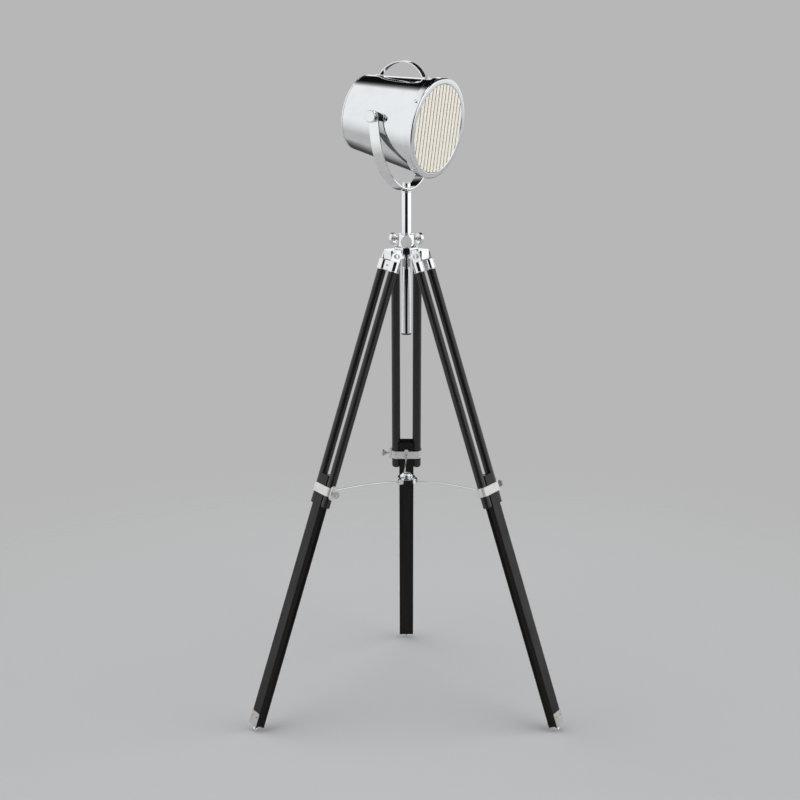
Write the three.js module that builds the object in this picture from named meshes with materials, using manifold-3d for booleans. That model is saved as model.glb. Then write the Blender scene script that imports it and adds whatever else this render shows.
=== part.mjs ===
// A searchlight floor lamp: a chromed drum head in a U-shaped yoke, on a column that slides
// in a three-lug crown, on three telescopic wooden legs held apart by a rod spreader.
// Millimetres, +Z up. The floor is z = 0 and the origin is the middle of the footprint's box.
import * as THREE from "three";
import { mergeVertices } from "three/addons/utils/BufferGeometryUtils.js";
import Module from "manifold-3d";

const wasm = await Module();
wasm.setup();

// ---- Driving dimensions ------------------------------------------------------------------
const DEG = Math.PI / 180;
const GAP = 0.3; // clearance between touching pieces
const LARGE_SIDES = 40; // facets round the drum
const MEDIUM_SIDES = 16; // round tubes and knobs
const SMALL_SIDES = 10; // round screws and holes

// Tripod
const HINGE_HEIGHT = 1050;
const HINGE_RADIUS = 37.1; // leg hinge axis to the column's axis
const LEG_TILT = 18.7 * DEG; // leg to the vertical, fully spread
const LEG_AZIMUTHS = { rear: 90 * DEG, left: 210 * DEG, right: 330 * DEG };

// Legs, measured along the leg from the hinge
const ROD_RADIUS = 9.9;
const ROD_OFFSET = 24.45; // rod's axis to the leg's axis
const ROD_END = 578;
const SOCKET_TOP = 12;
const SOCKET_END = 36;
const SOCKET_RADIUS = 12.3;
const BAR_START = 507;
const BAR_END = 1093.8;
const BAR_WIDTH = 34.3;
const BAR_DEPTH = 20.4;
const COLLAR_AT = 540.5; // middle of the clamp collar
const COLLAR_HEIGHT = 20;
const COLLAR_WALL = 1.6;
const FOOT_RADIUS = 6;
const FOOT_OFFSET = 3; // foot's axis outside the leg's axis
const FOOT_FLAT = 0.4; // depth of the flat under the ball
const FOOT_PLATE_LENGTH = 30;
const FOOT_PLATE_THICKNESS = 1.5;

// Crown and column clamp
const CROWN_BOTTOM = 1043;
const CROWN_TOP = 1062;
const CROWN_DISC_RADIUS = 30;
const CROWN_DISC_BOTTOM = 1053.5;
const CROWN_RELIEF = 23; // radius of the hollow under the disc
const LUG_REACH = 50;
const LUG_HALF_WIDTH = 18;
const LUG_CORNER = 7;
const CLAMP_TOP = 1095;
const CLAMP_RADIUS = 18;
const CLAMP_BASE_RADIUS = 27;
const CLAMP_KNOB_HEIGHT = 1082.5;
const CLAMP_KNOB_RADIUS = 13;

// Column
const COLUMN_RADIUS = 11.3;
const COLUMN_BORE = 9;
const COLUMN_BOTTOM = 872;
const COLUMN_TOP = 1190; // shoulder of the domed seat under the yoke
const SEAT_RADIUS = 8;
const NIPPLE_RADIUS = 5;
const NIPPLE_BORE = 3.4;
const NUT_RADIUS = 9.3;
const NUT_TOP = 1207.5;

// Yoke and head
const YOKE_HALF_WIDTH = 104; // arm's mid-thickness to the mid-line
const YOKE_DEPTH = 122.3; // depth of the elliptical bow
const YOKE_BOTTOM = 1194; // mid-thickness of the strip on the column
const YOKE_STRIP = 24.6;
const YOKE_THICKNESS = 3;
const YOKE_LEAN = 6.5 * DEG; // the yoke leans back on its domed seat
const PIVOT_RISE = 164.6; // tilt axis from the strip's bottom, along the arms
const HEAD_YAW = -122 * DEG; // front of the head, turned from +Y
const HEAD_NOSE_DOWN = 8.2 * DEG;
const AXIS_DROP = 14.6; // drum's axis below the tilt axis
const DRUM_AHEAD = 18.4; // drum's zero in front of the tilt axis
const STUD_RADIUS = 4;
const STUD_TIP = 84; // inner end of the knob's stud, from the mid-line
const BUSH_SLEEVE = 6.5; // radius of the bush through the drum's wall
const BUSH_SPACER = 9.8; // radius of the bush's round spacer
const KNOB_RADIUS = 13;

// Drum, along its axis
const DRUM_BACK = -109;
const DRUM_FRONT = 78;
const DRUM_BACK_RADIUS = 83;
const DRUM_FRONT_RADIUS = 105;
const DRUM_WALL = 1.5;
const BACK_FACE = -112.6; // outer face of the back cover
const BEZEL_FRONT = 85.4;
const BEZEL_RADIUS = 109;
const BEZEL_OPENING = 96;
const SKIRT_BACK = 65;
const LENS_RADIUS = 104.6;
const LENS_RIBS = 14;
const RIM_SCREW_ANGLES = { upper_near: 55, lower_near: 145, lower_far: 235, upper_far: 325 };
const RIM_SCREW_AT = SKIRT_BACK + 7.5;
const GLAND_DROP = 34; // cable gland below the drum's axis
const GLAND_HOLE = 6;

// Carry handle, along the drum's axis
const HANDLE_ENDS = [-88, 45];
const HANDLE_ARCH_ENDS = [-77, 33]; // the feet turn outward from the arch
const HANDLE_SPRING = 28 * DEG; // part of the ellipse cut off below the feet
const HANDLE_THICKNESS = 2.4;
const HANDLE_WIDTH = 15;
const HANDLE_RISE = 33.5;
const HANDLE_SCREWS = [-83.2, 40];

// Spreader
const EYE_INSET = 20; // rod's outer pivot inside the leg's axis
const HUB_PIVOT_RADIUS = 20;
const HUB_PIVOT_HEIGHT = 529;
const SPREADER_ROD_RADIUS = 1.6;
const SPREADER_OFFSET = 5; // rods pass beside each other under the hub
const SPREADER_ARCH = 4;
const EYE_RADIUS = 4;
const HUB_CLEARANCE = 1.9; // beside a rod's eye, for the rod swings a little as it folds

// ---- Materials ---------------------------------------------------------------------------
const finish = (color, roughness, metalness, more = {}) =>
  new THREE.MeshStandardMaterial({ color, roughness, metalness, ...more });
const CHROME = finish(0xd9dcde, 0.07, 1);
const SATIN = finish(0xc4c6c6, 0.32, 1);
const BLACK_WOOD = finish(0x1e1c1b, 0.42, 0);
const BLACK_PLASTIC = finish(0x171717, 0.5, 0);
const ALUMINIUM = finish(0xe6e2d8, 0.25, 1);
const CERAMIC = finish(0xe9e6df, 0.35, 0);
const OPAL = finish(0xfbf3e3, 0.2, 0);
const RIBBED_GLASS = finish(0xf3e9dc, 0.08, 0, { transparent: true, opacity: 0.55 });

// ---- Solids ------------------------------------------------------------------------------
// A closed three.js geometry as a manifold solid, facing out.
function solid(geometry) {
  const bare = geometry.clone();
  bare.deleteAttribute("normal");
  bare.deleteAttribute("uv");
  const merged = mergeVertices(bare, 1e-4);
  const mesh = new wasm.Mesh({
    numProp: 3,
    vertProperties: new Float32Array(merged.attributes.position.array),
    triVerts: new Uint32Array(merged.index.array),
  });
  const made = new wasm.Manifold(mesh);
  if (made.volume() > 0) return made;
  for (let i = 0; i < mesh.triVerts.length; i += 3) {
    const first = mesh.triVerts[i];
    mesh.triVerts[i] = mesh.triVerts[i + 1];
    mesh.triVerts[i + 1] = first;
  }
  return new wasm.Manifold(mesh);
}

function geometryOf(made) {
  const { vertProperties, triVerts } = made.getMesh();
  const geometry = new THREE.BufferGeometry();
  geometry.setAttribute("position", new THREE.BufferAttribute(vertProperties, 3));
  geometry.setIndex(new THREE.BufferAttribute(triVerts, 1));
  geometry.computeVertexNormals();
  return geometry;
}

const join = (...pieces) => pieces.reduce((all, piece) => all.add(piece));
const cut = (body, ...tools) => tools.reduce((left, tool) => left.subtract(tool), body);

// A box between two corners.
function box(low, high) {
  const size = high.map((value, i) => value - low[i]);
  const middle = high.map((value, i) => (value + low[i]) / 2);
  return solid(new THREE.BoxGeometry(...size).translate(...middle));
}

// A cylinder along x, y or z, from one place on its axis to another.
function cylinder(axis, radius, from, to, centre = [0, 0, 0], sides = MEDIUM_SIDES) {
  const geometry = new THREE.CylinderGeometry(radius, radius, to - from, sides);
  geometry.translate(0, (from + to) / 2, 0);
  if (axis === "x") geometry.rotateZ(-Math.PI / 2);
  if (axis === "z") geometry.rotateX(Math.PI / 2);
  return solid(geometry.translate(...centre));
}

// An outline of [radius, height] turned about z, or about y for the drum's pieces.
function turned(outline, axis = "z", sides = MEDIUM_SIDES) {
  const points = outline.map(([radius, height]) => new THREE.Vector2(radius, height));
  const geometry = new THREE.LatheGeometry(points, sides);
  if (axis === "x") geometry.rotateZ(-Math.PI / 2);
  if (axis === "z") geometry.rotateX(Math.PI / 2);
  return solid(geometry);
}

// A ring's outline closes on itself.
const ring = (outline, axis, sides) => turned([...outline, outline[0]], axis, sides);

// Points on a round corner, from one angle to another in degrees.
function corner(centre, radius, from, to, steps = 4) {
  const points = [];
  for (let i = 0; i <= steps; i++) {
    const angle = (from + ((to - from) * i) / steps) * DEG;
    points.push([centre[0] + radius * Math.cos(angle), centre[1] + radius * Math.sin(angle)]);
  }
  return points;
}

function plate(outline, thickness) {
  const shape = new THREE.Shape(outline.map(([x, y]) => new THREE.Vector2(x, y)));
  return new THREE.ExtrudeGeometry(shape, { depth: thickness, bevelEnabled: false });
}

// A slot outline: two round ends on the x axis.
const stadium = (halfLength, radius, steps = 5) => [
  ...corner([halfLength, 0], radius, -90, 90, steps),
  ...corner([-halfLength, 0], radius, 90, 270, steps),
];

// From x, y, z to y, z, x: a plate seen along z becomes one seen along x.
const SIDEWAYS = new THREE.Matrix4().makeBasis(
  new THREE.Vector3(0, 1, 0),
  new THREE.Vector3(0, 0, 1),
  new THREE.Vector3(1, 0, 0),
);

// A plate of y, z points, as thick as given, to both sides of x = 0.
const sidePlate = (outline, thickness) =>
  solid(plate(outline, thickness).applyMatrix4(SIDEWAYS).translate(-thickness / 2, 0, 0));

// A named mesh of a solid, added to a group.
function add(group, name, made, material) {
  const mesh = new THREE.Mesh(geometryOf(made), material);
  mesh.name = name;
  group.add(mesh);
}

// ---- Groups ------------------------------------------------------------------------------
const lamp = new THREE.Group();
const plateFace = BAR_DEPTH / 2 + GAP + FOOT_PLATE_THICKNESS;
const rearReach = HINGE_RADIUS + BAR_END * Math.sin(LEG_TILT) + plateFace * Math.cos(LEG_TILT);
const frontReach = rearReach * Math.sin(30 * DEG) + (BAR_WIDTH / 2) * Math.cos(30 * DEG);
// The column stands in front of the origin, because one leg points back and two forward.
lamp.position.y = -(rearReach - frontReach) / 2;

// ---- Crown and column clamp --------------------------------------------------------------
function crown() {
  const outline = [
    [0, -LUG_HALF_WIDTH],
    ...corner([LUG_REACH - LUG_CORNER, -LUG_HALF_WIDTH + LUG_CORNER], LUG_CORNER, -90, 0, 3),
    ...corner([LUG_REACH - LUG_CORNER, LUG_HALF_WIDTH - LUG_CORNER], LUG_CORNER, 0, 90, 3),
    [0, LUG_HALF_WIDTH],
  ];
  const pin = cylinder("y", STUD_RADIUS + GAP, -30, 30, [HINGE_RADIUS, 0, HINGE_HEIGHT], SMALL_SIDES);
  const height = CROWN_TOP - CROWN_BOTTOM;
  const lug = cut(solid(plate(outline, height).translate(0, 0, CROWN_BOTTOM)), pin);
  const lugs = Object.values(LEG_AZIMUTHS).map((azimuth) => lug.rotate([0, 0, azimuth / DEG]));
  const disc = cylinder("z", CROWN_DISC_RADIUS, CROWN_DISC_BOTTOM, CROWN_TOP);
  const relief = cylinder("z", CROWN_RELIEF, CROWN_BOTTOM - 5, CROWN_DISC_BOTTOM);
  const bore = cylinder("z", COLUMN_RADIUS + GAP, CROWN_BOTTOM - 5, CROWN_TOP + 5);
  const pins = Object.values(LEG_AZIMUTHS).map((azimuth) => pin.rotate([0, 0, azimuth / DEG]));
  return cut(join(disc, ...lugs), relief, bore, ...pins);
}

function columnClamp() {
  const bottom = CROWN_TOP + GAP;
  const flare = corner([CLAMP_BASE_RADIUS, bottom + 12], 9, 270, 180, 3);
  const body = ring([
    [COLUMN_RADIUS + GAP, bottom],
    [CLAMP_BASE_RADIUS, bottom],
    ...flare,
    [CLAMP_RADIUS, CLAMP_TOP - 1.5],
    [CLAMP_RADIUS - 1.5, CLAMP_TOP],
    [COLUMN_RADIUS + GAP, CLAMP_TOP],
  ]);
  const hole = cylinder("x", 3.3, 5, 40, [0, 0, CLAMP_KNOB_HEIGHT], SMALL_SIDES);
  return cut(body, ...knobAzimuths().map((azimuth) => hole.rotate([0, 0, azimuth])));
}

// The clamp's three screws stand between the legs.
const knobAzimuths = () => [270, 30, 150];

// A thumbscrew along x: a shank and a disc with chamfered edges.
function thumbscrew(shankRadius, tip, discRadius, discFrom, discTo, sides = MEDIUM_SIDES) {
  const edge = 1.2;
  return turned(
    [
      [0, tip],
      [shankRadius, tip],
      [shankRadius, discFrom - 3],
      [shankRadius + 2, discFrom - 3],
      [shankRadius + 2, discFrom],
      [discRadius - edge, discFrom],
      [discRadius, discFrom + edge],
      [discRadius, discTo - edge],
      [discRadius - edge, discTo],
      [0, discTo],
    ],
    "x",
    sides,
  );
}

add(lamp, "crown", crown(), CHROME);
add(lamp, "column_clamp", columnClamp(), CHROME);
["front", "right", "left"].forEach((side, i) => {
  const group = new THREE.Group();
  group.rotation.z = knobAzimuths()[i] * DEG;
  group.position.z = CLAMP_KNOB_HEIGHT;
  lamp.add(group);
  add(group, "clamp_knob_" + side, thumbscrew(3, COLUMN_RADIUS + GAP, CLAMP_KNOB_RADIUS, 30, 38), CHROME);
});

// ---- Column ------------------------------------------------------------------------------
function column() {
  const washerTop = COLUMN_TOP;
  const washerBottom = washerTop - 3;
  return ring([
    [COLUMN_BORE, COLUMN_BOTTOM],
    [COLUMN_RADIUS, COLUMN_BOTTOM],
    [COLUMN_RADIUS, washerBottom],
    [COLUMN_RADIUS + 0.7, washerBottom],
    [COLUMN_RADIUS + 0.7, washerTop],
    [SEAT_RADIUS, washerTop + 1.2],
    [NIPPLE_RADIUS, washerTop + 1.5],
    [NIPPLE_RADIUS, NUT_TOP],
    [NIPPLE_BORE, NUT_TOP],
    [NIPPLE_BORE, washerBottom - 6],
    [COLUMN_BORE, washerBottom - 6],
  ]);
}

add(lamp, "column", column(), CHROME);
add(
  lamp,
  "column_end_bush",
  ring([
    [5, COLUMN_BOTTOM - 3],
    [COLUMN_RADIUS, COLUMN_BOTTOM - 3],
    [COLUMN_RADIUS, COLUMN_BOTTOM - GAP],
    [COLUMN_BORE - GAP, COLUMN_BOTTOM - GAP],
    [COLUMN_BORE - GAP, COLUMN_BOTTOM + 12],
    [5, COLUMN_BOTTOM + 12],
  ]),
  BLACK_PLASTIC,
);
add(
  lamp,
  "yoke_nut",
  ring([
    [NIPPLE_RADIUS + GAP, YOKE_BOTTOM + 2.5],
    [NUT_RADIUS, YOKE_BOTTOM + 3],
    [NUT_RADIUS, NUT_TOP - 0.8],
    [NUT_RADIUS - 0.8, NUT_TOP],
    [NIPPLE_RADIUS + GAP, NUT_TOP],
  ]),
  CHROME,
);

// ---- Yoke --------------------------------------------------------------------------------
// The yoke and the head are built looking along +Y, with the tilt axis along x.
const panned = new THREE.Group();
panned.rotation.z = HEAD_YAW;
lamp.add(panned);
const leaning = new THREE.Group();
leaning.position.z = YOKE_BOTTOM;
leaning.rotation.x = YOKE_LEAN;
panned.add(leaning);
const PIVOT = [0, -PIVOT_RISE * Math.sin(YOKE_LEAN), YOKE_BOTTOM + PIVOT_RISE * Math.cos(YOKE_LEAN)];

// The U of the strip seen along y, from its bottom, one side of it at a distance from the mid-line.
function bow(offset) {
  const top = PIVOT_RISE + YOKE_STRIP;
  const points = [[YOKE_HALF_WIDTH + offset, top]];
  const steps = 28;
  for (let i = 0; i <= steps; i++) {
    const angle = -(Math.PI * i) / steps;
    const across = Math.cos(angle) / YOKE_HALF_WIDTH;
    const along = Math.sin(angle) / YOKE_DEPTH;
    const length = Math.hypot(across, along);
    points.push([
      YOKE_HALF_WIDTH * Math.cos(angle) + (offset * across) / length,
      YOKE_DEPTH + YOKE_DEPTH * Math.sin(angle) + (offset * along) / length,
    ]);
  }
  points.push([-YOKE_HALF_WIDTH - offset, top]);
  return points;
}

function yoke() {
  const half = YOKE_STRIP / 2;
  const outline = [...bow(YOKE_THICKNESS / 2), ...bow(-YOKE_THICKNESS / 2).reverse()];
  const strip = solid(plate(outline, YOKE_STRIP).rotateX(Math.PI / 2).translate(0, half, 0));
  const roundEnd = corner([0, PIVOT_RISE], half, 0, 180, 10);
  const side = [[-half, -10], [half, -10], ...roundEnd];
  const reach = YOKE_HALF_WIDTH + 10;
  const studHole = cylinder("x", STUD_RADIUS + GAP, -reach, reach, [0, 0, PIVOT_RISE], SMALL_SIDES);
  const nippleHole = cylinder("z", NIPPLE_RADIUS + GAP, -10, 10).rotate([-YOKE_LEAN / DEG, 0, 0]);
  return cut(strip.intersect(sidePlate(side, 2 * reach)), studHole, nippleHole);
}

add(leaning, "yoke", yoke(), CHROME);

// ---- Head --------------------------------------------------------------------------------
const head = new THREE.Group();
head.position.set(...PIVOT);
head.rotation.x = -HEAD_NOSE_DOWN;
panned.add(head);
const drumAxis = new THREE.Group();
drumAxis.position.set(0, DRUM_AHEAD, -AXIS_DROP);
head.add(drumAxis);

const drumSlope = (DRUM_FRONT_RADIUS - DRUM_BACK_RADIUS) / (DRUM_FRONT - DRUM_BACK);
const drumRadius = (along) => DRUM_BACK_RADIUS + (along - DRUM_BACK) * drumSlope;

function drumShell() {
  const wall = ring(
    [
      [DRUM_BACK_RADIUS - DRUM_WALL, DRUM_BACK],
      [DRUM_BACK_RADIUS, DRUM_BACK],
      [DRUM_FRONT_RADIUS, DRUM_FRONT],
      [DRUM_FRONT_RADIUS - DRUM_WALL, DRUM_FRONT],
    ],
    "y",
    LARGE_SIDES,
  );
  const reach = DRUM_FRONT_RADIUS + 10;
  const pivot = [0, -DRUM_AHEAD, AXIS_DROP];
  return cut(wall, cylinder("x", BUSH_SLEEVE + 2 * GAP, -reach, reach, pivot));
}

function backCover() {
  const outer = DRUM_BACK_RADIUS;
  const thickness = 1.6;
  const edge = DRUM_BACK - GAP;
  const inside = BACK_FACE + thickness;
  const lip = outer - DRUM_WALL - GAP;
  const lipInside = lip - 1.4;
  const lipEnd = DRUM_BACK + 7;
  const round = corner([outer - 3.3, edge], 3.3, -90, 0, 2);
  const dish = turned(
    [
      [0, BACK_FACE],
      ...round,
      [lip, edge],
      [lip, lipEnd],
      [lipInside, lipEnd],
      [lipInside, inside],
      [0, inside],
    ],
    "y",
    LARGE_SIDES,
  );
  const slots = [];
  const slotCount = 10;
  const slot = solid(plate(stadium(9, 2.5, 2), 12).rotateX(Math.PI / 2).translate(60, BACK_FACE + 6, 0));
  for (let i = 0; i < slotCount; i++) slots.push(slot.rotate([0, (360 * i) / slotCount, 0]));
  const glandEnds = [BACK_FACE - 5, BACK_FACE + 8];
  const glandHole = cylinder("y", GLAND_HOLE, ...glandEnds, [0, 0, -GLAND_DROP], SMALL_SIDES);
  return cut(dish, ...slots, glandHole);
}

function rimBezel() {
  const inside = DRUM_FRONT_RADIUS + 0.5;
  const seat = DRUM_FRONT + 4.2;
  const body = ring(
    [
      [inside, SKIRT_BACK],
      [inside + 1.6, SKIRT_BACK],
      [inside + 2, DRUM_FRONT + 1],
      [BEZEL_RADIUS, DRUM_FRONT + 2.5],
      [BEZEL_RADIUS, DRUM_FRONT + 4],
      [BEZEL_RADIUS - 3, BEZEL_FRONT],
      [BEZEL_OPENING + 1.5, BEZEL_FRONT],
      [BEZEL_OPENING, BEZEL_FRONT - 1.5],
      [BEZEL_OPENING, seat],
      [inside, seat],
    ],
    "y",
    LARGE_SIDES,
  );
  const hole = cylinder("z", 2.1, 90, 120, [0, RIM_SCREW_AT, 0], 8);
  const holes = Object.values(RIM_SCREW_ANGLES).map((angle) => hole.rotate([0, angle, 0]));
  return cut(body, ...holes);
}

// Half-round vertical ribs on a round plate.
function ribbedLens() {
  const back = DRUM_FRONT + GAP;
  const face = back + 3.6;
  const radius = BEZEL_OPENING - 0.7;
  const pitch = (2 * radius) / LENS_RIBS;
  const outline = [[-radius, back], [radius, back]];
  const steps = 4;
  for (let rib = LENS_RIBS - 1; rib >= 0; rib--) {
    for (let i = 0; i <= steps; i++) {
      const part = 1 - i / steps;
      const bulge = 2.2 * Math.sqrt(Math.max(0, 1 - (2 * part - 1) ** 2));
      if (i === 0 && rib < LENS_RIBS - 1) continue;
      outline.push([-radius + (rib + part) * pitch, face + 1.2 + bulge]);
    }
  }
  const tall = 2 * radius + 10;
  const ribs = solid(plate(outline, tall).translate(0, 0, -tall / 2));
  const flange = cylinder("y", LENS_RADIUS, back, face, [0, 0, 0], LARGE_SIDES);
  const round = cylinder("y", radius, back, face + 10, [0, 0, 0], LARGE_SIDES);
  return join(flange, ribs.intersect(round));
}

// A spun bowl round the bulb.
function reflector() {
  const mouth = DRUM_FRONT_RADIUS - DRUM_WALL - 3.2;
  const front = DRUM_FRONT - 8;
  const throat = 24;
  const bottom = -50;
  const steps = 5;
  const inner = [];
  for (let i = 0; i <= steps; i++) {
    const radius = throat + ((mouth - 6 - throat) * i) / steps;
    const depth = (radius ** 2 - throat ** 2) / ((mouth - 6) ** 2 - throat ** 2);
    inner.push([radius, bottom + (front - bottom) * depth]);
  }
  const outer = inner.map(([radius, along]) => [radius + 1.2, along - 1.2]).reverse();
  return ring([...inner, [mouth, front], [mouth, front - 1.2], ...outer], "y", 32);
}

function lampHolder() {
  const back = BACK_FACE + 1.6 + GAP;
  return turned(
    [
      [0, back],
      [28, back],
      [28, back + 2.5],
      [17, back + 5],
      [17, -75],
      [20, -73],
      [20, -45],
      [14.3, -45],
      [14.3, -70],
      [0, -70],
    ],
    "y",
  );
}

function bulb() {
  const globe = corner([0, 18], 30, -62, 90, 8);
  return turned([[0, -69], [4, -69], [13, -64], [13, -44], ...globe], "y");
}

// A strip handle over the drum: part of an ellipse, with feet turned outward on the wall.
function handleLine(offset) {
  const lift = GAP + HANDLE_THICKNESS / 2 + offset;
  const [start, end] = HANDLE_ARCH_ENDS;
  const middle = (start + end) / 2;
  const half = (end - start) / 2 / Math.cos(HANDLE_SPRING) + offset;
  const cutOff = Math.sin(HANDLE_SPRING);
  const rise = (HANDLE_RISE - HANDLE_THICKNESS / 2) / (1 - cutOff);
  const points = [];
  const steps = 14;
  for (let i = 0; i <= steps; i++) {
    const angle = Math.PI - HANDLE_SPRING - ((Math.PI - 2 * HANDLE_SPRING) * i) / steps;
    const along = middle + half * Math.cos(angle);
    points.push([along, drumRadius(along) + lift + rise * (Math.sin(angle) - cutOff)]);
  }
  return points;
}

function carryHandle() {
  const half = HANDLE_THICKNESS / 2;
  const arch = sidePlate([...handleLine(half), ...handleLine(-half).reverse()], HANDLE_WIDTH);
  const feet = HANDLE_ENDS.map((end, i) => {
    const springing = HANDLE_ARCH_ENDS[i] + (i ? -half : half);
    const alongs = i ? [springing, end] : [end, springing];
    const low = alongs.map((along) => [along, drumRadius(along) + GAP]);
    const high = alongs.map((along) => [along, drumRadius(along) + GAP + HANDLE_THICKNESS]);
    return sidePlate([...low, ...high.reverse()], HANDLE_WIDTH);
  });
  const holes = HANDLE_SCREWS.map((along) =>
    cylinder("z", 2.3, 70, drumRadius(along) + 4, [0, along, 0], 8),
  );
  return cut(join(arch, ...feet), ...holes);
}

// A round-headed screw along z: its head stands on height 0.
const domedScrew = (headRadius, headHeight, shankRadius, shankLength) =>
  turned(
    [
      [0, -shankLength],
      [shankRadius, -shankLength],
      [shankRadius, 0],
      [headRadius, 0],
      [headRadius, headHeight * 0.35],
      [headRadius * 0.7, headHeight * 0.85],
      [0, headHeight],
    ],
    "z",
    SMALL_SIDES,
  );

// The threaded bush that carries the drum: a sleeve through the wall and a round spacer outside.
function pivotBush() {
  const armFace = YOKE_HALF_WIDTH - YOKE_THICKNESS / 2 - GAP;
  const bore = STUD_RADIUS + GAP;
  const spacer = ring(
    [
      [bore, STUD_TIP],
      [BUSH_SLEEVE, STUD_TIP],
      [BUSH_SLEEVE, STUD_TIP + 5],
      [BUSH_SPACER - 1.8, STUD_TIP + 5],
      [BUSH_SPACER, STUD_TIP + 8],
      [BUSH_SPACER, armFace - 3],
      [BUSH_SPACER - 1.8, armFace],
      [bore, armFace],
    ],
    "x",
  );
  const outside = drumRadius(-DRUM_AHEAD) + GAP;
  const near = 20;
  const room = new THREE.CylinderGeometry(
    outside + near * drumSlope,
    outside - near * drumSlope,
    2 * near,
    LARGE_SIDES,
  ).translate(0, 0, -AXIS_DROP);
  const sleeve = cylinder("x", BUSH_SLEEVE, STUD_TIP - 1, armFace + 1);
  return join(cut(spacer, solid(room)), sleeve.intersect(spacer));
}

// The tilt knob: a stud, a stack of washers and a head outside the arm.
function tiltKnob() {
  const face = YOKE_HALF_WIDTH + YOKE_THICKNESS / 2 + GAP;
  return turned(
    [
      [0, STUD_TIP],
      [STUD_RADIUS, STUD_TIP],
      [STUD_RADIUS, face],
      [10.5, face],
      [10.5, face + 1.8],
      [8.5, face + 1.8],
      [8.5, face + 3.4],
      [KNOB_RADIUS, face + 3.4],
      [KNOB_RADIUS, face + 10.6],
      [KNOB_RADIUS - 1.2, face + 11.8],
      [0, face + 11.8],
    ],
    "x",
  );
}

add(drumAxis, "drum_shell", drumShell(), CHROME);
add(drumAxis, "back_cover", backCover(), CHROME);
add(drumAxis, "rim_bezel", rimBezel(), CHROME);
add(drumAxis, "ribbed_lens", ribbedLens(), RIBBED_GLASS);
add(drumAxis, "reflector", reflector(), ALUMINIUM);
add(drumAxis, "lamp_holder", lampHolder(), CERAMIC);
add(drumAxis, "bulb", bulb(), OPAL);
add(drumAxis, "carry_handle", carryHandle(), CHROME);
["rear", "front"].forEach((end, i) => {
  const group = new THREE.Group();
  const along = HANDLE_SCREWS[i];
  group.position.set(0, along, drumRadius(along) + HANDLE_THICKNESS + 2 * GAP + 0.6);
  group.rotation.x = Math.atan(drumSlope);
  drumAxis.add(group);
  add(group, "handle_screw_" + end, domedScrew(4, 2.4, 1.8, 2), CHROME);
});
for (const [place, angle] of Object.entries(RIM_SCREW_ANGLES)) {
  const turn = new THREE.Group();
  turn.rotation.y = angle * DEG;
  const seat = new THREE.Group();
  seat.position.set(0, RIM_SCREW_AT, DRUM_FRONT_RADIUS + 2.8);
  turn.add(seat);
  drumAxis.add(turn);
  add(seat, "rim_screw_" + place, domedScrew(4, 2.6, 1.6, 1.9), CHROME);
}
add(
  drumAxis,
  "cable_gland",
  ring(
    [
      [3.5, BACK_FACE - 9],
      [6, BACK_FACE - 9],
      [8.5, BACK_FACE - 5],
      [8.5, BACK_FACE - GAP],
      [GLAND_HOLE - GAP, BACK_FACE - GAP],
      [GLAND_HOLE - GAP, BACK_FACE + 5],
      [3.5, BACK_FACE + 5],
    ],
    "y",
    SMALL_SIDES,
  ).translate([0, 0, -GLAND_DROP]),
  BLACK_PLASTIC,
);
for (const [side, turn] of [["near", 0], ["far", Math.PI]]) {
  const bushSide = new THREE.Group();
  bushSide.scale.x = turn ? -1 : 1;
  head.add(bushSide);
  add(bushSide, "pivot_bush_" + side, pivotBush(), BLACK_PLASTIC);
  const knobSide = new THREE.Group();
  knobSide.position.set(...PIVOT);
  knobSide.rotation.z = turn;
  panned.add(knobSide);
  add(knobSide, "tilt_knob_" + side, tiltKnob(), CHROME);
}

// ---- Legs --------------------------------------------------------------------------------
// A leg is built hanging straight down from its hinge: x outward, y along the hinge.
function bracket() {
  const earInner = LUG_HALF_WIDTH + 0.4;
  const earThickness = 5;
  const earRadius = 10.5;
  const earOutline = [[-earRadius, -14], [earRadius, -14], ...corner([0, 0], earRadius, 0, 180, 8)];
  const ear = solid(plate(earOutline, earThickness).rotateX(Math.PI / 2)).translate([
    0,
    earInner + earThickness,
    0,
  ]);
  const socket = ring(
    [
      [0.01, -SOCKET_TOP],
      [SOCKET_RADIUS - 1, -SOCKET_TOP],
      [SOCKET_RADIUS, -SOCKET_TOP - 1],
      [SOCKET_RADIUS, -SOCKET_END],
      [ROD_RADIUS + GAP, -SOCKET_END],
      [ROD_RADIUS + GAP, -SOCKET_TOP - 2.5],
      [0.01, -SOCKET_TOP - 2.5],
    ],
    "z",
  );
  const plug = cylinder("z", 3, -SOCKET_TOP - 2.5, -SOCKET_TOP, [0, 0, 0], SMALL_SIDES);
  const cup = join(socket, plug).translate([0, ROD_OFFSET, 0]);
  const web = box([-3, -13, -SOCKET_END + 2], [5, 13, -SOCKET_TOP - 1.5]);
  const pinHole = cylinder("y", STUD_RADIUS + GAP, -40, 40, [0, 0, 0], SMALL_SIDES);
  const socketRoom = [-1, 1].map((side) =>
    cylinder("z", ROD_RADIUS + 1, -60, -SOCKET_TOP - 1, [0, side * ROD_OFFSET, 0]),
  );
  const frame = cut(join(ear, ear.mirror([0, 1, 0]), web), pinHole, ...socketRoom);
  return join(frame, cup, cup.mirror([0, 1, 0]));
}

function hingeBolt() {
  const face = LUG_HALF_WIDTH + 0.4 + 5 + GAP;
  return turned(
    [
      [0, -face - 3.5],
      [6.2, -face - 3],
      [6.2, -face],
      [STUD_RADIUS, -face],
      [STUD_RADIUS, face],
      [6.2, face],
      [6.2, face + 3],
      [0, face + 3.5],
    ],
    "y",
    SMALL_SIDES,
  );
}

function legRod() {
  const end = corner([ROD_RADIUS - 3, -ROD_END + 3], 3, 0, -90, 1);
  const top = -SOCKET_TOP - 3;
  return turned([[0, top], [ROD_RADIUS, top], ...end, [0, -ROD_END]]);
}

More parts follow.
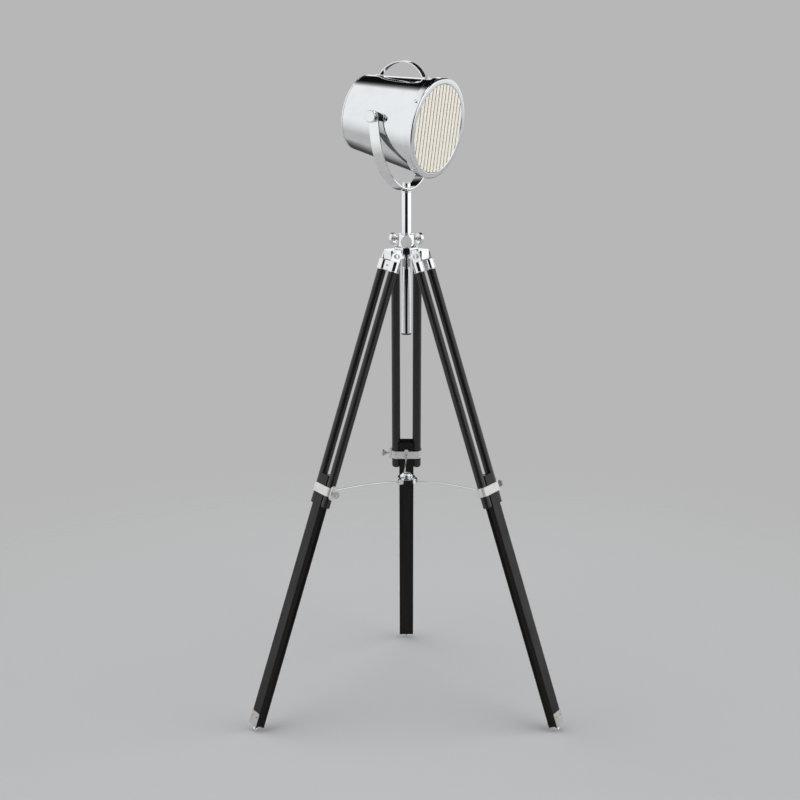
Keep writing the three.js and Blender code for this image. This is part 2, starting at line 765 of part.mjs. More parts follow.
// The sliding bar is hollowed along both edges to run between the rods.
function lowerBar() {
  const bar = box([-BAR_DEPTH / 2, -BAR_WIDTH / 2, -BAR_END], [BAR_DEPTH / 2, BAR_WIDTH / 2, -BAR_START]);
  const grooves = [-1, 1].map((side) =>
    cylinder("z", ROD_RADIUS + GAP, -BAR_END - 5, -BAR_START + 5, [0, side * ROD_OFFSET, 0]),
  );
  return cut(bar, ...grooves);
}

// A band round both rods, with a screw block at one end and an eye for the spreader inside.
function collar() {
  const inner = BAR_DEPTH / 2 + GAP;
  const outer = inner + COLLAR_WALL;
  const low = -COLLAR_AT - COLLAR_HEIGHT / 2;
  const high = low + COLLAR_HEIGHT;
  const quarter = Math.PI / 2;
  const tube = (radius, more) =>
    solid(
      plate(stadium(ROD_OFFSET, radius), COLLAR_HEIGHT + 2 * more)
        .rotateZ(quarter)
        .translate(0, 0, low - more),
    );
  const end = ROD_OFFSET + outer - 1;
  const block = box([-5, end, low - 1], [5, end + 5.5, high + 1]);
  const lobes = [low - 1, high + 1].map((height) =>
    cylinder("y", 5, end, end + 5.5, [0, 0, height], SMALL_SIDES),
  );
  const screwHole = cylinder("y", 2.6, ROD_OFFSET, end + 10, [0, 0, -COLLAR_AT], 8);
  const lug = box([-outer - 2, -5, -COLLAR_AT - 8], [-outer + 0.5, 5, high + 2]);
  const lugTop = cylinder("x", 5, -outer - 2, -outer + 0.5, [0, 0, high + 2], SMALL_SIDES);
  const ears = [-1, 1].map((side) =>
    box(
      [-EYE_INSET - 4.5, side > 0 ? 2.4 : -4.4, -COLLAR_AT - 4.5],
      [-outer - 1, side > 0 ? 4.4 : -2.4, -COLLAR_AT + 4.5],
    ),
  );
  const pin = cylinder("y", 1.2, -4.4, 4.4, [-EYE_INSET, 0, -COLLAR_AT], 8);
  const inside = tube(inner, 20);
  const whole = join(tube(outer, 0), block, ...lobes, lug, lugTop, ...ears, pin);
  return cut(whole, inside, screwHole);
}

function collarKnob() {
  return thumbscrew(2.2, ROD_OFFSET + ROD_RADIUS + GAP, 7.6, 53.5, 58, 16);
}

function footPlate() {
  const face = BAR_DEPTH / 2 + GAP;
  const half = BAR_WIDTH / 2;
  return box([face, -half, -BAR_END], [plateFace, half, -BAR_END + FOOT_PLATE_LENGTH]);
}

// The ball foot stands upright under the bar's slanting end.
function ballFoot(barEnd) {
  const flatRadius = Math.sqrt(FOOT_RADIUS ** 2 - (FOOT_RADIUS - FOOT_FLAT) ** 2);
  const from = Math.asin(-(FOOT_RADIUS - FOOT_FLAT) / FOOT_RADIUS) / DEG;
  const ball = corner([0, FOOT_RADIUS - FOOT_FLAT], FOOT_RADIUS, from, 68, 7);
  const stem = ball.at(-1)[0];
  const foot = turned([[0, 0], [flatRadius, 0], ...ball.slice(1), [stem, 20], [0, 20]], "z", 16);
  return cut(foot.translate([footRadius(), 0, 0]), barEnd);
}

const footRadius = () =>
  HINGE_RADIUS + BAR_END * Math.sin(LEG_TILT) + FOOT_OFFSET * Math.cos(LEG_TILT);

function barEndRoom() {
  const room = box([-40, -40, -BAR_END - GAP], [40, 40, -BAR_END + 60]);
  return room.rotate([0, -LEG_TILT / DEG, 0]).translate([HINGE_RADIUS, 0, HINGE_HEIGHT]);
}

// Where the spreader rod's outer end turns, as distance from the column's axis and height.
const eyePlace = () => [
  HINGE_RADIUS + COLLAR_AT * Math.sin(LEG_TILT) - EYE_INSET * Math.cos(LEG_TILT),
  HINGE_HEIGHT - COLLAR_AT * Math.cos(LEG_TILT) - EYE_INSET * Math.sin(LEG_TILT),
];

// A thin arched rod with a flat eye at each end.
function spreaderRod() {
  const [outerX, outerZ] = eyePlace();
  const from = new THREE.Vector3(outerX - EYE_RADIUS + 0.8, 0, outerZ);
  const to = new THREE.Vector3(HUB_PIVOT_RADIUS + EYE_RADIUS - 0.8, SPREADER_OFFSET, HUB_PIVOT_HEIGHT);
  const middle = from.clone().lerp(to, 0.62);
  middle.z += 2 * SPREADER_ARCH;
  const path = new THREE.QuadraticBezierCurve3(from, middle, to);
  const section = new THREE.Shape(
    corner([0, 0], SPREADER_ROD_RADIUS, 0, 315, 7).map(([x, y]) => new THREE.Vector2(x, y)),
  );
  const wire = new THREE.ExtrudeGeometry(section, { steps: 10, extrudePath: path });
  const eye = (x, y, z) =>
    cut(
      cylinder("y", EYE_RADIUS, -SPREADER_ROD_RADIUS, SPREADER_ROD_RADIUS, [x, y, z], SMALL_SIDES),
      cylinder("y", 1.7, -5, 5, [x, y, z], 8),
    );
  return join(
    solid(wire),
    eye(outerX, 0, outerZ),
    eye(HUB_PIVOT_RADIUS, SPREADER_OFFSET, HUB_PIVOT_HEIGHT),
  );
}

for (const [side, azimuth] of Object.entries(LEG_AZIMUTHS)) {
  const quarter = new THREE.Group();
  quarter.rotation.z = azimuth;
  lamp.add(quarter);
  const leg = new THREE.Group();
  leg.position.set(HINGE_RADIUS, 0, HINGE_HEIGHT);
  leg.rotation.y = -LEG_TILT;
  quarter.add(leg);
  add(leg, "leg_bracket_" + side, bracket(), CHROME);
  add(leg, "hinge_bolt_" + side, hingeBolt(), CHROME);
  add(leg, "leg_rod_a_" + side, legRod().translate([0, ROD_OFFSET, 0]), BLACK_WOOD);
  add(leg, "leg_rod_b_" + side, legRod().translate([0, -ROD_OFFSET, 0]), BLACK_WOOD);
  add(leg, "lower_bar_" + side, lowerBar(), BLACK_WOOD);
  add(leg, "collar_" + side, collar(), SATIN);
  add(leg, "foot_plate_" + side, footPlate(), SATIN);
  const knob = new THREE.Group();
  knob.position.z = -COLLAR_AT;
  knob.rotation.z = 90 * DEG;
  leg.add(knob);
  add(knob, "collar_knob_" + side, collarKnob(), SATIN);
  add(quarter, "ball_foot_" + side, ballFoot(barEndRoom()), CHROME);
  add(quarter, "spreader_rod_" + side, spreaderRod(), CHROME);
}

// ---- Spreader hub ------------------------------------------------------------------------
// A slotted disc over the rods' inner ends, with a pair of cheeks beside each end.
function spreaderHub() {
  const under = HUB_PIVOT_HEIGHT + EYE_RADIUS + 1;
  const disc = ring(
    [
      [3, under],
      [21, under],
      [21, under + 3],
      [20, under + 4],
      [3, under + 4],
    ],
    "z",
    36,
  );
  const inner = SPREADER_OFFSET - SPREADER_ROD_RADIUS - HUB_CLEARANCE;
  const outer = SPREADER_OFFSET + SPREADER_ROD_RADIUS + HUB_CLEARANCE;
  const cheek = (from, to) => box([13.5, from, HUB_PIVOT_HEIGHT - 5], [24, to, under + 2]);
  const cheeks = join(cheek(inner - 2, inner), cheek(outer, outer + 2));
  const slot = box([12.5, inner, under - 1], [30, outer, under + 5]);
  const turns = Object.values(LEG_AZIMUTHS).map((azimuth) => azimuth / DEG);
  const body = join(disc, ...turns.map((turn) => cheeks.rotate([0, 0, turn])));
  return cut(body, ...turns.map((turn) => slot.rotate([0, 0, turn])));
}

function hubCap() {
  const base = HUB_PIVOT_HEIGHT + EYE_RADIUS + 5 + GAP;
  const dome = corner([8, base + 5], 3.5, 0, 70, 2);
  return turned([[0, base], [11.5, base], ...dome, [3, base + 9], [3, base + 10.5], [0, base + 11]]);
}

add(lamp, "spreader_hub", spreaderHub(), CHROME);
add(lamp, "hub_cap", hubCap(), CHROME);

export default lamp;
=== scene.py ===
"""The looks of the searchlight floor lamp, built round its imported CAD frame.

Lengths in the shape code are millimetres in each piece's own frame; a frame is a matrix in metres.
"""

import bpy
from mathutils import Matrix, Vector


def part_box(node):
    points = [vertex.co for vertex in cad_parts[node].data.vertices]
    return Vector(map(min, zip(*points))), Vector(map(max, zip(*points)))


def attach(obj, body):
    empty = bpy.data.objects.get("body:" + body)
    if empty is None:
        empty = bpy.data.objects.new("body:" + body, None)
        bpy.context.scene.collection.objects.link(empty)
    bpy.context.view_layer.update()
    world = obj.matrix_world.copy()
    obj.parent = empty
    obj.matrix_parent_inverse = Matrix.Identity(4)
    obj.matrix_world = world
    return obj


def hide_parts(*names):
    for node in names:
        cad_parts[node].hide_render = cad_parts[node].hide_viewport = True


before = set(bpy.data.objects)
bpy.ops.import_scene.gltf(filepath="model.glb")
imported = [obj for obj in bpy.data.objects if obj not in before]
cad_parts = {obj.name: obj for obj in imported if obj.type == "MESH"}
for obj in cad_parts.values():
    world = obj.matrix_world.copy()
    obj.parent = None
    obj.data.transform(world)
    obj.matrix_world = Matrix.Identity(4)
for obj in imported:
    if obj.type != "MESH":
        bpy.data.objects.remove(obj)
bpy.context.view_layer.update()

import math

import bmesh
import bpy
from mathutils import Matrix, Vector

MM = 0.001

# ---- Dimensions, the same as the CAD's ---------------------------------------------------------
GAP = 0.3
HINGE_HEIGHT = 1050
HINGE_RADIUS = 37.1
LEG_TILT = math.radians(18.7)
LEG_AZIMUTHS = {"rear": 90, "left": 210, "right": 330}
ROD_RADIUS = 9.9
ROD_OFFSET = 24.45
ROD_END = 578
SOCKET_TOP = 12
SOCKET_END = 36
SOCKET_RADIUS = 12.3
BAR_START = 507
BAR_END = 1093.8
BAR_WIDTH = 34.3
BAR_DEPTH = 20.4
COLLAR_AT = 540.5
COLLAR_HEIGHT = 20
COLLAR_WALL = 1.6
COLLAR_KNOB_RADIUS = 7.6
COLLAR_KNOB_START = 53.5
COLLAR_KNOB_END = 58
FOOT_RADIUS = 6
FOOT_OFFSET = 3
FOOT_FLAT = 0.4
FOOT_PLATE_LENGTH = 30
FOOT_PLATE_THICKNESS = 1.5
CROWN_BOTTOM = 1043
CROWN_TOP = 1062
CROWN_DISC_RADIUS = 30
CROWN_DISC_BOTTOM = 1053.5
CROWN_RELIEF = 23
LUG_REACH = 50
LUG_HALF_WIDTH = 18
LUG_CORNER = 7
EAR_CLEARANCE = 0.4
EAR_THICKNESS = 5
CLAMP_TOP = 1095
CLAMP_RADIUS = 18
CLAMP_BASE_RADIUS = 27
CLAMP_KNOB_HEIGHT = 1082.5
CLAMP_KNOB_RADIUS = 13
CLAMP_KNOB_START = 30
CLAMP_KNOB_END = 37.9
KNOB_AZIMUTHS = {"front": 270, "right": 30, "left": 150}
COLUMN_RADIUS = 11.3
COLUMN_BORE = 9
COLUMN_BOTTOM = 872
COLUMN_TOP = 1190
SEAT_RADIUS = 8
NIPPLE_RADIUS = 5
NIPPLE_BORE = 3.4
NUT_RADIUS = 9.3
NUT_TOP = 1207.5
YOKE_HALF_WIDTH = 104
YOKE_DEPTH = 122.3
YOKE_BOTTOM = 1194
YOKE_STRIP = 24.6
YOKE_LEAN = math.radians(6.5)
PIVOT_RISE = 164.6
YOKE_THICKNESS = 3
HEAD_YAW = math.radians(-122)
HEAD_NOSE_DOWN = math.radians(8.2)
AXIS_DROP = 14.6
DRUM_AHEAD = 18.4
STUD_RADIUS = 4
STUD_TIP = 84
BUSH_SLEEVE = 6.5
BUSH_SPACER = 9.8
KNOB_RADIUS = 13
DRUM_BACK = -109
DRUM_FRONT = 78
DRUM_BACK_RADIUS = 83
DRUM_FRONT_RADIUS = 105
DRUM_WALL = 1.5
BACK_FACE = -112.6
BEZEL_FRONT = 85.4
BEZEL_RADIUS = 109
BEZEL_OPENING = 96
SKIRT_BACK = 65
LENS_EDGE = 0.7  # between the glass and the opening
LENS_RIBS = 14
RIM_SCREW_ANGLES = {"upper_near": 55, "lower_near": 145, "lower_far": 235, "upper_far": 325}
RIM_SCREW_AT = SKIRT_BACK + 7.5
GLAND_DROP = 34
GLAND_HOLE = 6
HANDLE_ENDS = (-88, 45)
HANDLE_ARCH_ENDS = (-77, 33)
HANDLE_SPRING = math.radians(28)
HANDLE_THICKNESS = 2.4
HANDLE_WIDTH = 15
HANDLE_RISE = 33.5
HANDLE_SCREWS = (-83.2, 40)
EYE_INSET = 20
HUB_PIVOT_RADIUS = 20
HUB_PIVOT_HEIGHT = 529
SPREADER_ROD_RADIUS = 1.6
SPREADER_OFFSET = 5
SPREADER_ARCH = 4
EYE_RADIUS = 4
HUB_CLEARANCE = 1.9
HUB_RADIUS = 21
CHEEK_START = 13.5
CHEEK_END = 24
CHEEK_THICKNESS = 2

# Screw heads that only the looks have, and the head's own: radius and height
WEB_SCREW = (2.6, 1.6)
COLLAR_SCREW = (3.0, 1.8)
PLATE_SCREW = (2.7, 1.4)
HANDLE_SCREW = (4, 2.4)
RIM_SCREW = (4, 2.6)

# Camera, in millimetres and degrees
CAMERA_LENS = 78.34
CAMERA_DISTANCE = 3830
CAMERA_HEIGHT = 1620.6
CAMERA_DIP = 13.27


# ---- Frames ------------------------------------------------------------------------------------
def move(x, y, z):
    return Matrix.Translation(Vector((x, y, z)) * MM)


def turn(degrees, axis):
    return Matrix.Rotation(math.radians(degrees), 4, axis)


def frame_of(radians, axis):
    return Matrix.Rotation(radians, 4, axis)


column_low, column_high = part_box("column")
LAMP = Matrix.Translation(
    ((column_low.x + column_high.x) / 2, (column_low.y + column_high.y) / 2, 0)
)
PANNED = LAMP @ frame_of(HEAD_YAW, "Z")
LEANING = PANNED @ move(0, 0, YOKE_BOTTOM) @ frame_of(YOKE_LEAN, "X")
PIVOT = PANNED @ move(
    0,
    -PIVOT_RISE * math.sin(YOKE_LEAN),
    YOKE_BOTTOM + PIVOT_RISE * math.cos(YOKE_LEAN),
)
HEAD = PIVOT @ frame_of(-HEAD_NOSE_DOWN, "X")
DRUM = HEAD @ move(0, DRUM_AHEAD, -AXIS_DROP)
SIDE = {side: LAMP @ turn(azimuth, "Z") for side, azimuth in LEG_AZIMUTHS.items()}
LEG = {
    side: matrix @ move(HINGE_RADIUS, 0, HINGE_HEIGHT) @ frame_of(-LEG_TILT, "Y")
    for side, matrix in SIDE.items()
}


# ---- Shapes ------------------------------------------------------------------------------------
def shape(bm):
    """A working object from a bmesh, which is used up."""
    bmesh.ops.recalc_face_normals(bm, faces=bm.faces)
    mesh = bpy.data.meshes.new("shape")
    bm.to_mesh(mesh)
    bm.free()
    obj = bpy.data.objects.new("shape", mesh)
    bpy.context.scene.collection.objects.link(obj)
    return obj


def settle(obj):
    """Applies the object's modifiers."""
    bpy.context.view_layer.update()
    evaluated = obj.evaluated_get(bpy.context.evaluated_depsgraph_get())
    mesh = bpy.data.meshes.new_from_object(evaluated)
    obj.modifiers.clear()
    old = obj.data
    obj.data = mesh
    bpy.data.meshes.remove(old)
    return obj


def combine(base, operation, *others):
    for other in others:
        modifier = base.modifiers.new("combine", "BOOLEAN")
        modifier.operation = operation
        modifier.solver = "EXACT"
        modifier.object = other
    settle(base)
    for other in others:
        bpy.data.objects.remove(other)
    return base


def join(base, *others):
    return combine(base, "UNION", *others)


def cut(base, *others):
    return combine(base, "DIFFERENCE", *others)


def moved(obj, matrix):
    """Moves a working shape; the matrix's distances are in metres, as everywhere."""
    scale = Matrix.Scale(MM, 4)
    obj.data.transform(scale.inverted() @ matrix @ scale)
    return obj


def copy_of(obj):
    other = bpy.data.objects.new("shape", obj.data.copy())
    bpy.context.scene.collection.objects.link(other)
    return other


def bend(start, corner, end, steps):
    """Points on a smooth curve that leaves and arrives along the lines to a corner."""
    shares = [k / steps for k in range(steps + 1)]
    return [start * (1 - t) ** 2 + corner * 2 * t * (1 - t) + end * t**2 for t in shares]


def fillet(points, radius, closed=False, steps=3):
    """Rounds an outline's corners. A point may carry its own radius as a third number."""
    made = []
    for i, point in enumerate(points):
        here = Vector(point[:2])
        own = point[2] if len(point) > 2 else radius
        if own == 0 or (not closed and i in (0, len(points) - 1)):
            made.append(tuple(here))
            continue
        before = Vector(points[i - 1][:2]) - here
        after = Vector(points[(i + 1) % len(points)][:2]) - here
        reach = min(own, 0.45 * before.length, 0.45 * after.length)
        start = here + before.normalized() * reach
        end = here + after.normalized() * reach
        made += [tuple(spot) for spot in bend(start, here, end, steps)]
    return made


def arc(centre, radius, start, end, steps=12):
    """Points on a round corner, from one angle to another in degrees."""
    points = []
    for k in range(steps + 1):
        angle = math.radians(start + (end - start) * k / steps)
        points.append((centre[0] + radius * math.cos(angle), centre[1] + radius * math.sin(angle)))
    return points


def spot_on(axis, along, a, b):
    """A point from its place along an axis and its places on the other two."""
    return {"x": (along, a, b), "y": (a, along, b), "z": (a, b, along)}[axis]


def lathe(outline, axis="z", sides=96, closed=False):
    """Turns an outline of (radius, height) about an axis. An open one starts and ends on it."""
    bm = bmesh.new()
    rings = []
    for radius, height in outline:
        ring = []
        for k in range(sides if radius > 1e-4 else 1):
            a = radius * math.cos(2 * math.pi * k / sides)
            b = radius * math.sin(2 * math.pi * k / sides)
            ring.append(bm.verts.new(spot_on(axis, height, a, b)))
        rings.append(ring)
    for a, b in zip(rings, rings[1:] + (rings[:1] if closed else [])):
        for k in range(sides):
            after = (k + 1) % sides
            corners = [a[k % len(a)], a[after % len(a)], b[after % len(b)], b[k % len(b)]]
            corners = list(dict.fromkeys(corners))
            if len(corners) > 2:
                bm.faces.new(corners)
    return shape(bm)


def lathe_ring(outline, radius, axis, sides, steps=3):
    """Turns a closed outline, with its corners rounded, about an axis."""
    return lathe(fillet(outline, radius, True, steps), axis, sides, closed=True)


def skin(bm, rings):
    """A working object from rings of points, with a face over each end."""
    for a, b in zip(rings, rings[1:]):
        for k in range(len(a)):
            after = (k + 1) % len(a)
            bm.faces.new([a[k], a[after], b[after], b[k]])
    bm.faces.new(rings[0])
    bm.faces.new(rings[-1])
    return shape(bm)


def prism(outline, low, high, axis="z"):
    """An outline in the other two axes, carried along one axis."""
    bm = bmesh.new()
    ends = (low, high)
    rings = [[bm.verts.new(spot_on(axis, end, *point)) for point in outline] for end in ends]
    return skin(bm, rings)


def block(low, high):
    outline = [(low[0], low[1]), (high[0], low[1]), (high[0], high[1]), (low[0], high[1])]
    return prism(outline, low[2], high[2])


def rod(axis, radius, low, high, centre=(0, 0, 0), sides=48):
    made = lathe([(0, low), (radius, low), (radius, high), (0, high)], axis, sides)
    return moved(made, move(*centre))


def stadium(half_length, radius, steps=16):
    """An outline with two round ends on its first axis."""
    return arc((half_length, 0), radius, -90, 90, steps) + arc(
        (-half_length, 0), radius, 90, 270, steps
    )


def strip(path, half_widths, thickness, edge, spot):
    """A flat bar along a plane path. spot(w, a, b) gives a point from width and plane places."""
    bm = bmesh.new()
    rings = []
    for i, point in enumerate(path):
        here = Vector(point)
        ahead = Vector(path[min(i + 1, len(path) - 1)]) - Vector(path[max(i - 1, 0)])
        normal = Vector((-ahead.y, ahead.x)).normalized()
        wide = max(half_widths[i] - edge, 0.1)
        thick = thickness / 2 - edge
        ring = []
        for sw, st, start in ((1, 1, 0), (-1, 1, 90), (-1, -1, 180), (1, -1, 270)):
            for w, t in arc((sw * wide, st * thick), edge, start, start + 90, 3):
                place = here + normal * t
                ring.append(bm.verts.new(spot(w, place.x, place.y)))
        rings.append(ring)
    return skin(bm, rings)


def wire(path, radius, sides=20):
    """A round bar along a path in space."""
    bm = bmesh.new()
    rings = []
    up = Vector((0, 1, 0))
    for i, point in enumerate(path):
        ahead = Vector(path[min(i + 1, len(path) - 1)]) - Vector(path[max(i - 1, 0)])
        first = ahead.cross(up).normalized()
        second = ahead.cross(first).normalized()
        ring = []
        for k in range(sides):
            angle = 2 * math.pi * k / sides
            spot = Vector(point) + (first * math.cos(angle) + second * math.sin(angle)) * radius
            ring.append(bm.verts.new(spot))
        rings.append(ring)
    return skin(bm, rings)


def piece(obj, name, body, place, look, nodes=(), bevel=0.0, sharp=38, segments=2):
    """Finishes a working shape as a piece of the lamp."""
    finish, slot = look
    if bevel:
        modifier = obj.modifiers.new("bevel", "BEVEL")
        modifier.width = bevel
        modifier.segments = segments
        modifier.limit_method = "ANGLE"
        modifier.angle_limit = math.radians(40)
        settle(obj)
    mesh = obj.data
    mesh.transform(Matrix.Scale(MM, 4))
    mesh.polygons.foreach_set("use_smooth", [True] * len(mesh.polygons))
    mesh.set_sharp_from_angle(angle=math.radians(sharp))
    modifier = obj.modifiers.new("normals", "WEIGHTED_NORMAL")
    modifier.keep_sharp = True
    modifier.weight = 50
    settle(obj)
    obj.name = obj.data.name = name
    obj.data.materials.clear()
    obj.data.materials.append(finish)
    obj.matrix_world = place
    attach(obj, body)
    if nodes:
        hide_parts(*nodes)
    return obj


def sided(obj, stem, kind, side, body, place, look, **more):
    """A piece that replaces the node of the same stem and side."""
    piece(obj, f"{stem}_{kind}_{side}", body, place, look, [f"{stem}_{side}"], **more)


# ---- Finishes ----------------------------------------------------------------------------------
def linear(red, green, blue):
    """A colour given as it is seen, from 0 to 255, in linear light."""
    return tuple(
        value / 12.92 if value <= 0.04045 else ((value + 0.055) / 1.055) ** 2.4
        for value in (red / 255, green / 255, blue / 255)
    ) + (1,)


class Graph:
    """A material's nodes."""

    def __init__(self, tree):
        self.tree = tree
        tree.nodes.clear()

    def node(self, kind, **inputs):
        made = self.tree.nodes.new(kind)
        for name, value in inputs.items():
            self.feed(made, name.replace("_", " "), value)
        return made

    def feed(self, node, name, value):
        socket = node.inputs[int(name)] if name.isdigit() else node.inputs[name]
        if isinstance(value, bpy.types.NodeSocket):
            self.tree.links.new(value, socket)
        else:
            socket.default_value = value

    def math(self, operation, *values):
        made = self.tree.nodes.new("ShaderNodeMath")
        made.operation = operation
        for i, value in enumerate(values):
            self.feed(made, str(i), value)
        return made.outputs[0]

    def times(self, first, second):
        return self.math("MULTIPLY", first, second)

    def ramp(self, value, low, high, out_low=0.0, out_high=1.0, smooth=True):
        made = self.tree.nodes.new("ShaderNodeMapRange")
        made.interpolation_type = "SMOOTHSTEP" if smooth else "LINEAR"
        for i, each in enumerate((value, low, high, out_low, out_high)):
            self.feed(made, str(i), each)
        return made.outputs[0]

    def noise(self, vector, size, detail=3.0, roughness=0.55):
        """Noise with features of about size metres."""
        made = self.node("ShaderNodeTexNoise", Vector=vector, Scale=1 / size, Detail=detail)
        self.feed(made, "Roughness", roughness)
        return made.outputs["Fac"]

    def blend(self, share, first, second):
        made = self.tree.nodes.new("ShaderNodeMix")
        made.data_type = "RGBA"
        for i, value in ((0, share), (6, first), (7, second)):
            self.feed(made, str(i), value)
        return made.outputs[2]

    def stretched(self, scale):
        """Object coordinates, squeezed so that noise runs in lines."""
        coordinates = self.node("ShaderNodeTexCoord").outputs["Object"]
        mapping = self.node("ShaderNodeMapping", Vector=coordinates, Scale=scale)
        return mapping.outputs["Vector"]

    def bump(self, height, distance, strength=1.0, normal=None):
        made = self.node("ShaderNodeBump", Height=height, Distance=distance, Strength=strength)
        if normal is not None:
            self.feed(made, "Normal", normal)
        return made.outputs["Normal"]

    def principled(self, **inputs):
        self.close(self.node("ShaderNodeBsdfPrincipled", **inputs).outputs[0])

    def close(self, shader, output="ShaderNodeOutputMaterial"):
        made = self.tree.nodes.new(output)
        self.tree.links.new(shader, made.inputs["Surface"])


def new_material(name):
    made = bpy.data.materials.new(name)
    made.use_nodes = True
    return made, Graph(made.node_tree)


def metal(name, colour, dull_colour, roughness, lines=(1, 1, 1), lined=0.0, pitted=0.0, bare=1.0):
    """Metal with cloudy roughness, polishing lines and dull patches.

    bare is the share that is shaded as metal; the rest is shaded as a pale solid.
    """
    made, g = new_material(name)
    place = g.stretched((1, 1, 1))
    along = g.stretched(lines)
    cloud = g.noise(place, 0.035, 4.0)
    hair = g.noise(along, 0.0011, 2.0, 0.7)
    speck = g.noise(place, 0.0035, 5.0, 0.7)
    dull = g.ramp(cloud, 0.42, 0.72)
    shade = g.blend(g.times(dull, 0.5), colour, dull_colour)
    low, high = roughness
    rough = g.ramp(cloud, 0.3, 0.75, low, high)
    rough = g.math("ADD", rough, g.times(g.ramp(hair, 0.35, 0.75), lined * 0.25))
    normal = g.bump(hair, 0.00004 * lined + 0.0000012, 1.0)
    if pitted:
        rough = g.math("ADD", rough, g.times(g.ramp(speck, 0.45, 0.7), pitted * 0.3))
        normal = g.bump(speck, 0.00012 * pitted, 1.0, normal)
    g.principled(Base_Color=shade, Metallic=bare, Roughness=rough, Normal=normal)
    return made


def lacquered_wood(name, lines, shine, coat):
    """Black lacquer over straight-grained wood; the grain shows as a shallow relief."""
    made, g = new_material(name)
    place = g.stretched((1, 1, 1))
    along = g.stretched(lines)
    pores = g.noise(along, 0.0012, 3.0, 0.75)
    figure = g.noise(along, 0.006, 3.0, 0.5)
    cloud = g.noise(place, 0.05, 4.0)
    open_pores = g.ramp(pores, 0.56, 0.70)
    tone = g.blend(g.ramp(figure, 0.35, 0.68), linear(19, 16, 15), linear(29, 25, 23))
    tone = g.blend(g.times(open_pores, 0.55), tone, linear(9, 8, 7))
    rough = g.ramp(cloud, 0.3, 0.72, 0.33, 0.45)
    rough = g.math("ADD", rough, g.times(open_pores, 0.14))
    normal = g.bump(g.times(open_pores, -1.0), 0.00008, 0.8)
    normal = g.bump(figure, 0.00012, 0.6, normal)
    g.principled(
        Base_Color=tone,
        Roughness=rough,
        Coat_Weight=coat,
        Coat_Roughness=0.18,
        Specular_IOR_Level=shine,
        Normal=normal,
    )
    return made


def moulded(name, colour, other, roughness, grain=0.0009, depth=0.00003, **sockets):
    """A moulded or fired surface with a fine texture."""
    made, g = new_material(name)
    place = g.stretched((1, 1, 1))
    fine = g.noise(place, grain, 2.0, 0.6)
    cloud = g.noise(place, 0.02, 4.0)
    tone = g.blend(g.ramp(cloud, 0.35, 0.7), colour, other)
    rough = g.ramp(cloud, 0.3, 0.7, roughness[0], roughness[1])
    rough = g.math("ADD", rough, g.times(g.ramp(fine, 0.4, 0.7), 0.06))
    normal = g.bump(fine, depth, 1.0)
    g.principled(Base_Color=tone, Roughness=rough, Normal=normal, **sockets)
    return made


CHROME_TONE = (0.84, 0.85, 0.86, 1)
CHROME_DULL = (0.74, 0.76, 0.78, 1)
chrome = (metal("chrome", CHROME_TONE, CHROME_DULL, (0.03, 0.075)), "chrome")
strip_chrome = (
    metal("strip_chrome", (0.85, 0.86, 0.85, 1), CHROME_DULL, (0.07, 0.13), (1, 12, 1), 0.12),
    "chrome",
)
satin = (
    metal(
        "satin_chrome",
        (0.8, 0.8, 0.78, 1), (0.68, 0.67, 0.65, 1), (0.24, 0.36), (1, 1, 25),
        0.35,
        bare=0.38,
    ),
    "satin_chrome",
)
blasted = (
    metal("blasted_chrome", (0.9, 0.89, 0.87, 1), (0.84, 0.83, 0.81, 1), (0.55, 0.65), bare=0.3),
    "chrome",
)
mottled = (
    metal("mottled_plate", (0.6, 0.59, 0.56, 1), (0.36, 0.35, 0.33, 1), (0.3, 0.5), (1, 1, 8), 0.3, 0.8),
    "satin_chrome",
)
brass = (
    metal("brass", (0.62, 0.5, 0.33, 1), (0.42, 0.33, 0.21, 1), (0.16, 0.32), (1, 1, 1), 0.2),
    "chrome",
)
aluminium = (
    metal("spun_aluminium", (0.9, 0.86, 0.79, 1), (0.8, 0.74, 0.66, 1), (0.14, 0.24), (1, 30, 1), 0.2),
    "reflector_aluminium",
)
rod_wood = (lacquered_wood("black_rod_wood", (1, 1, 0.03), 0.42, 0.22), "black_wood")
bar_wood = (lacquered_wood("black_bar_wood", (1, 1, 0.03), 0.16, 0.02), "black_wood")
black_plastic = (
    moulded("black_plastic", linear(24, 24, 25), linear(34, 34, 35), (0.28, 0.42)),
    "black_plastic",
)
ceramic = (
    moulded("holder_ceramic", linear(232, 229, 220), linear(216, 211, 200), (0.22, 0.36)),
    "holder_plastic",
)
opal = (
    moulded(
        "opal_glass",
        linear(252, 240, 214),
        linear(250, 232, 198),
        (0.12, 0.2),
        Emission_Color=(1.0, 0.80, 0.52, 1),
        Emission_Strength=2.2,
    ),
    "opal",
)


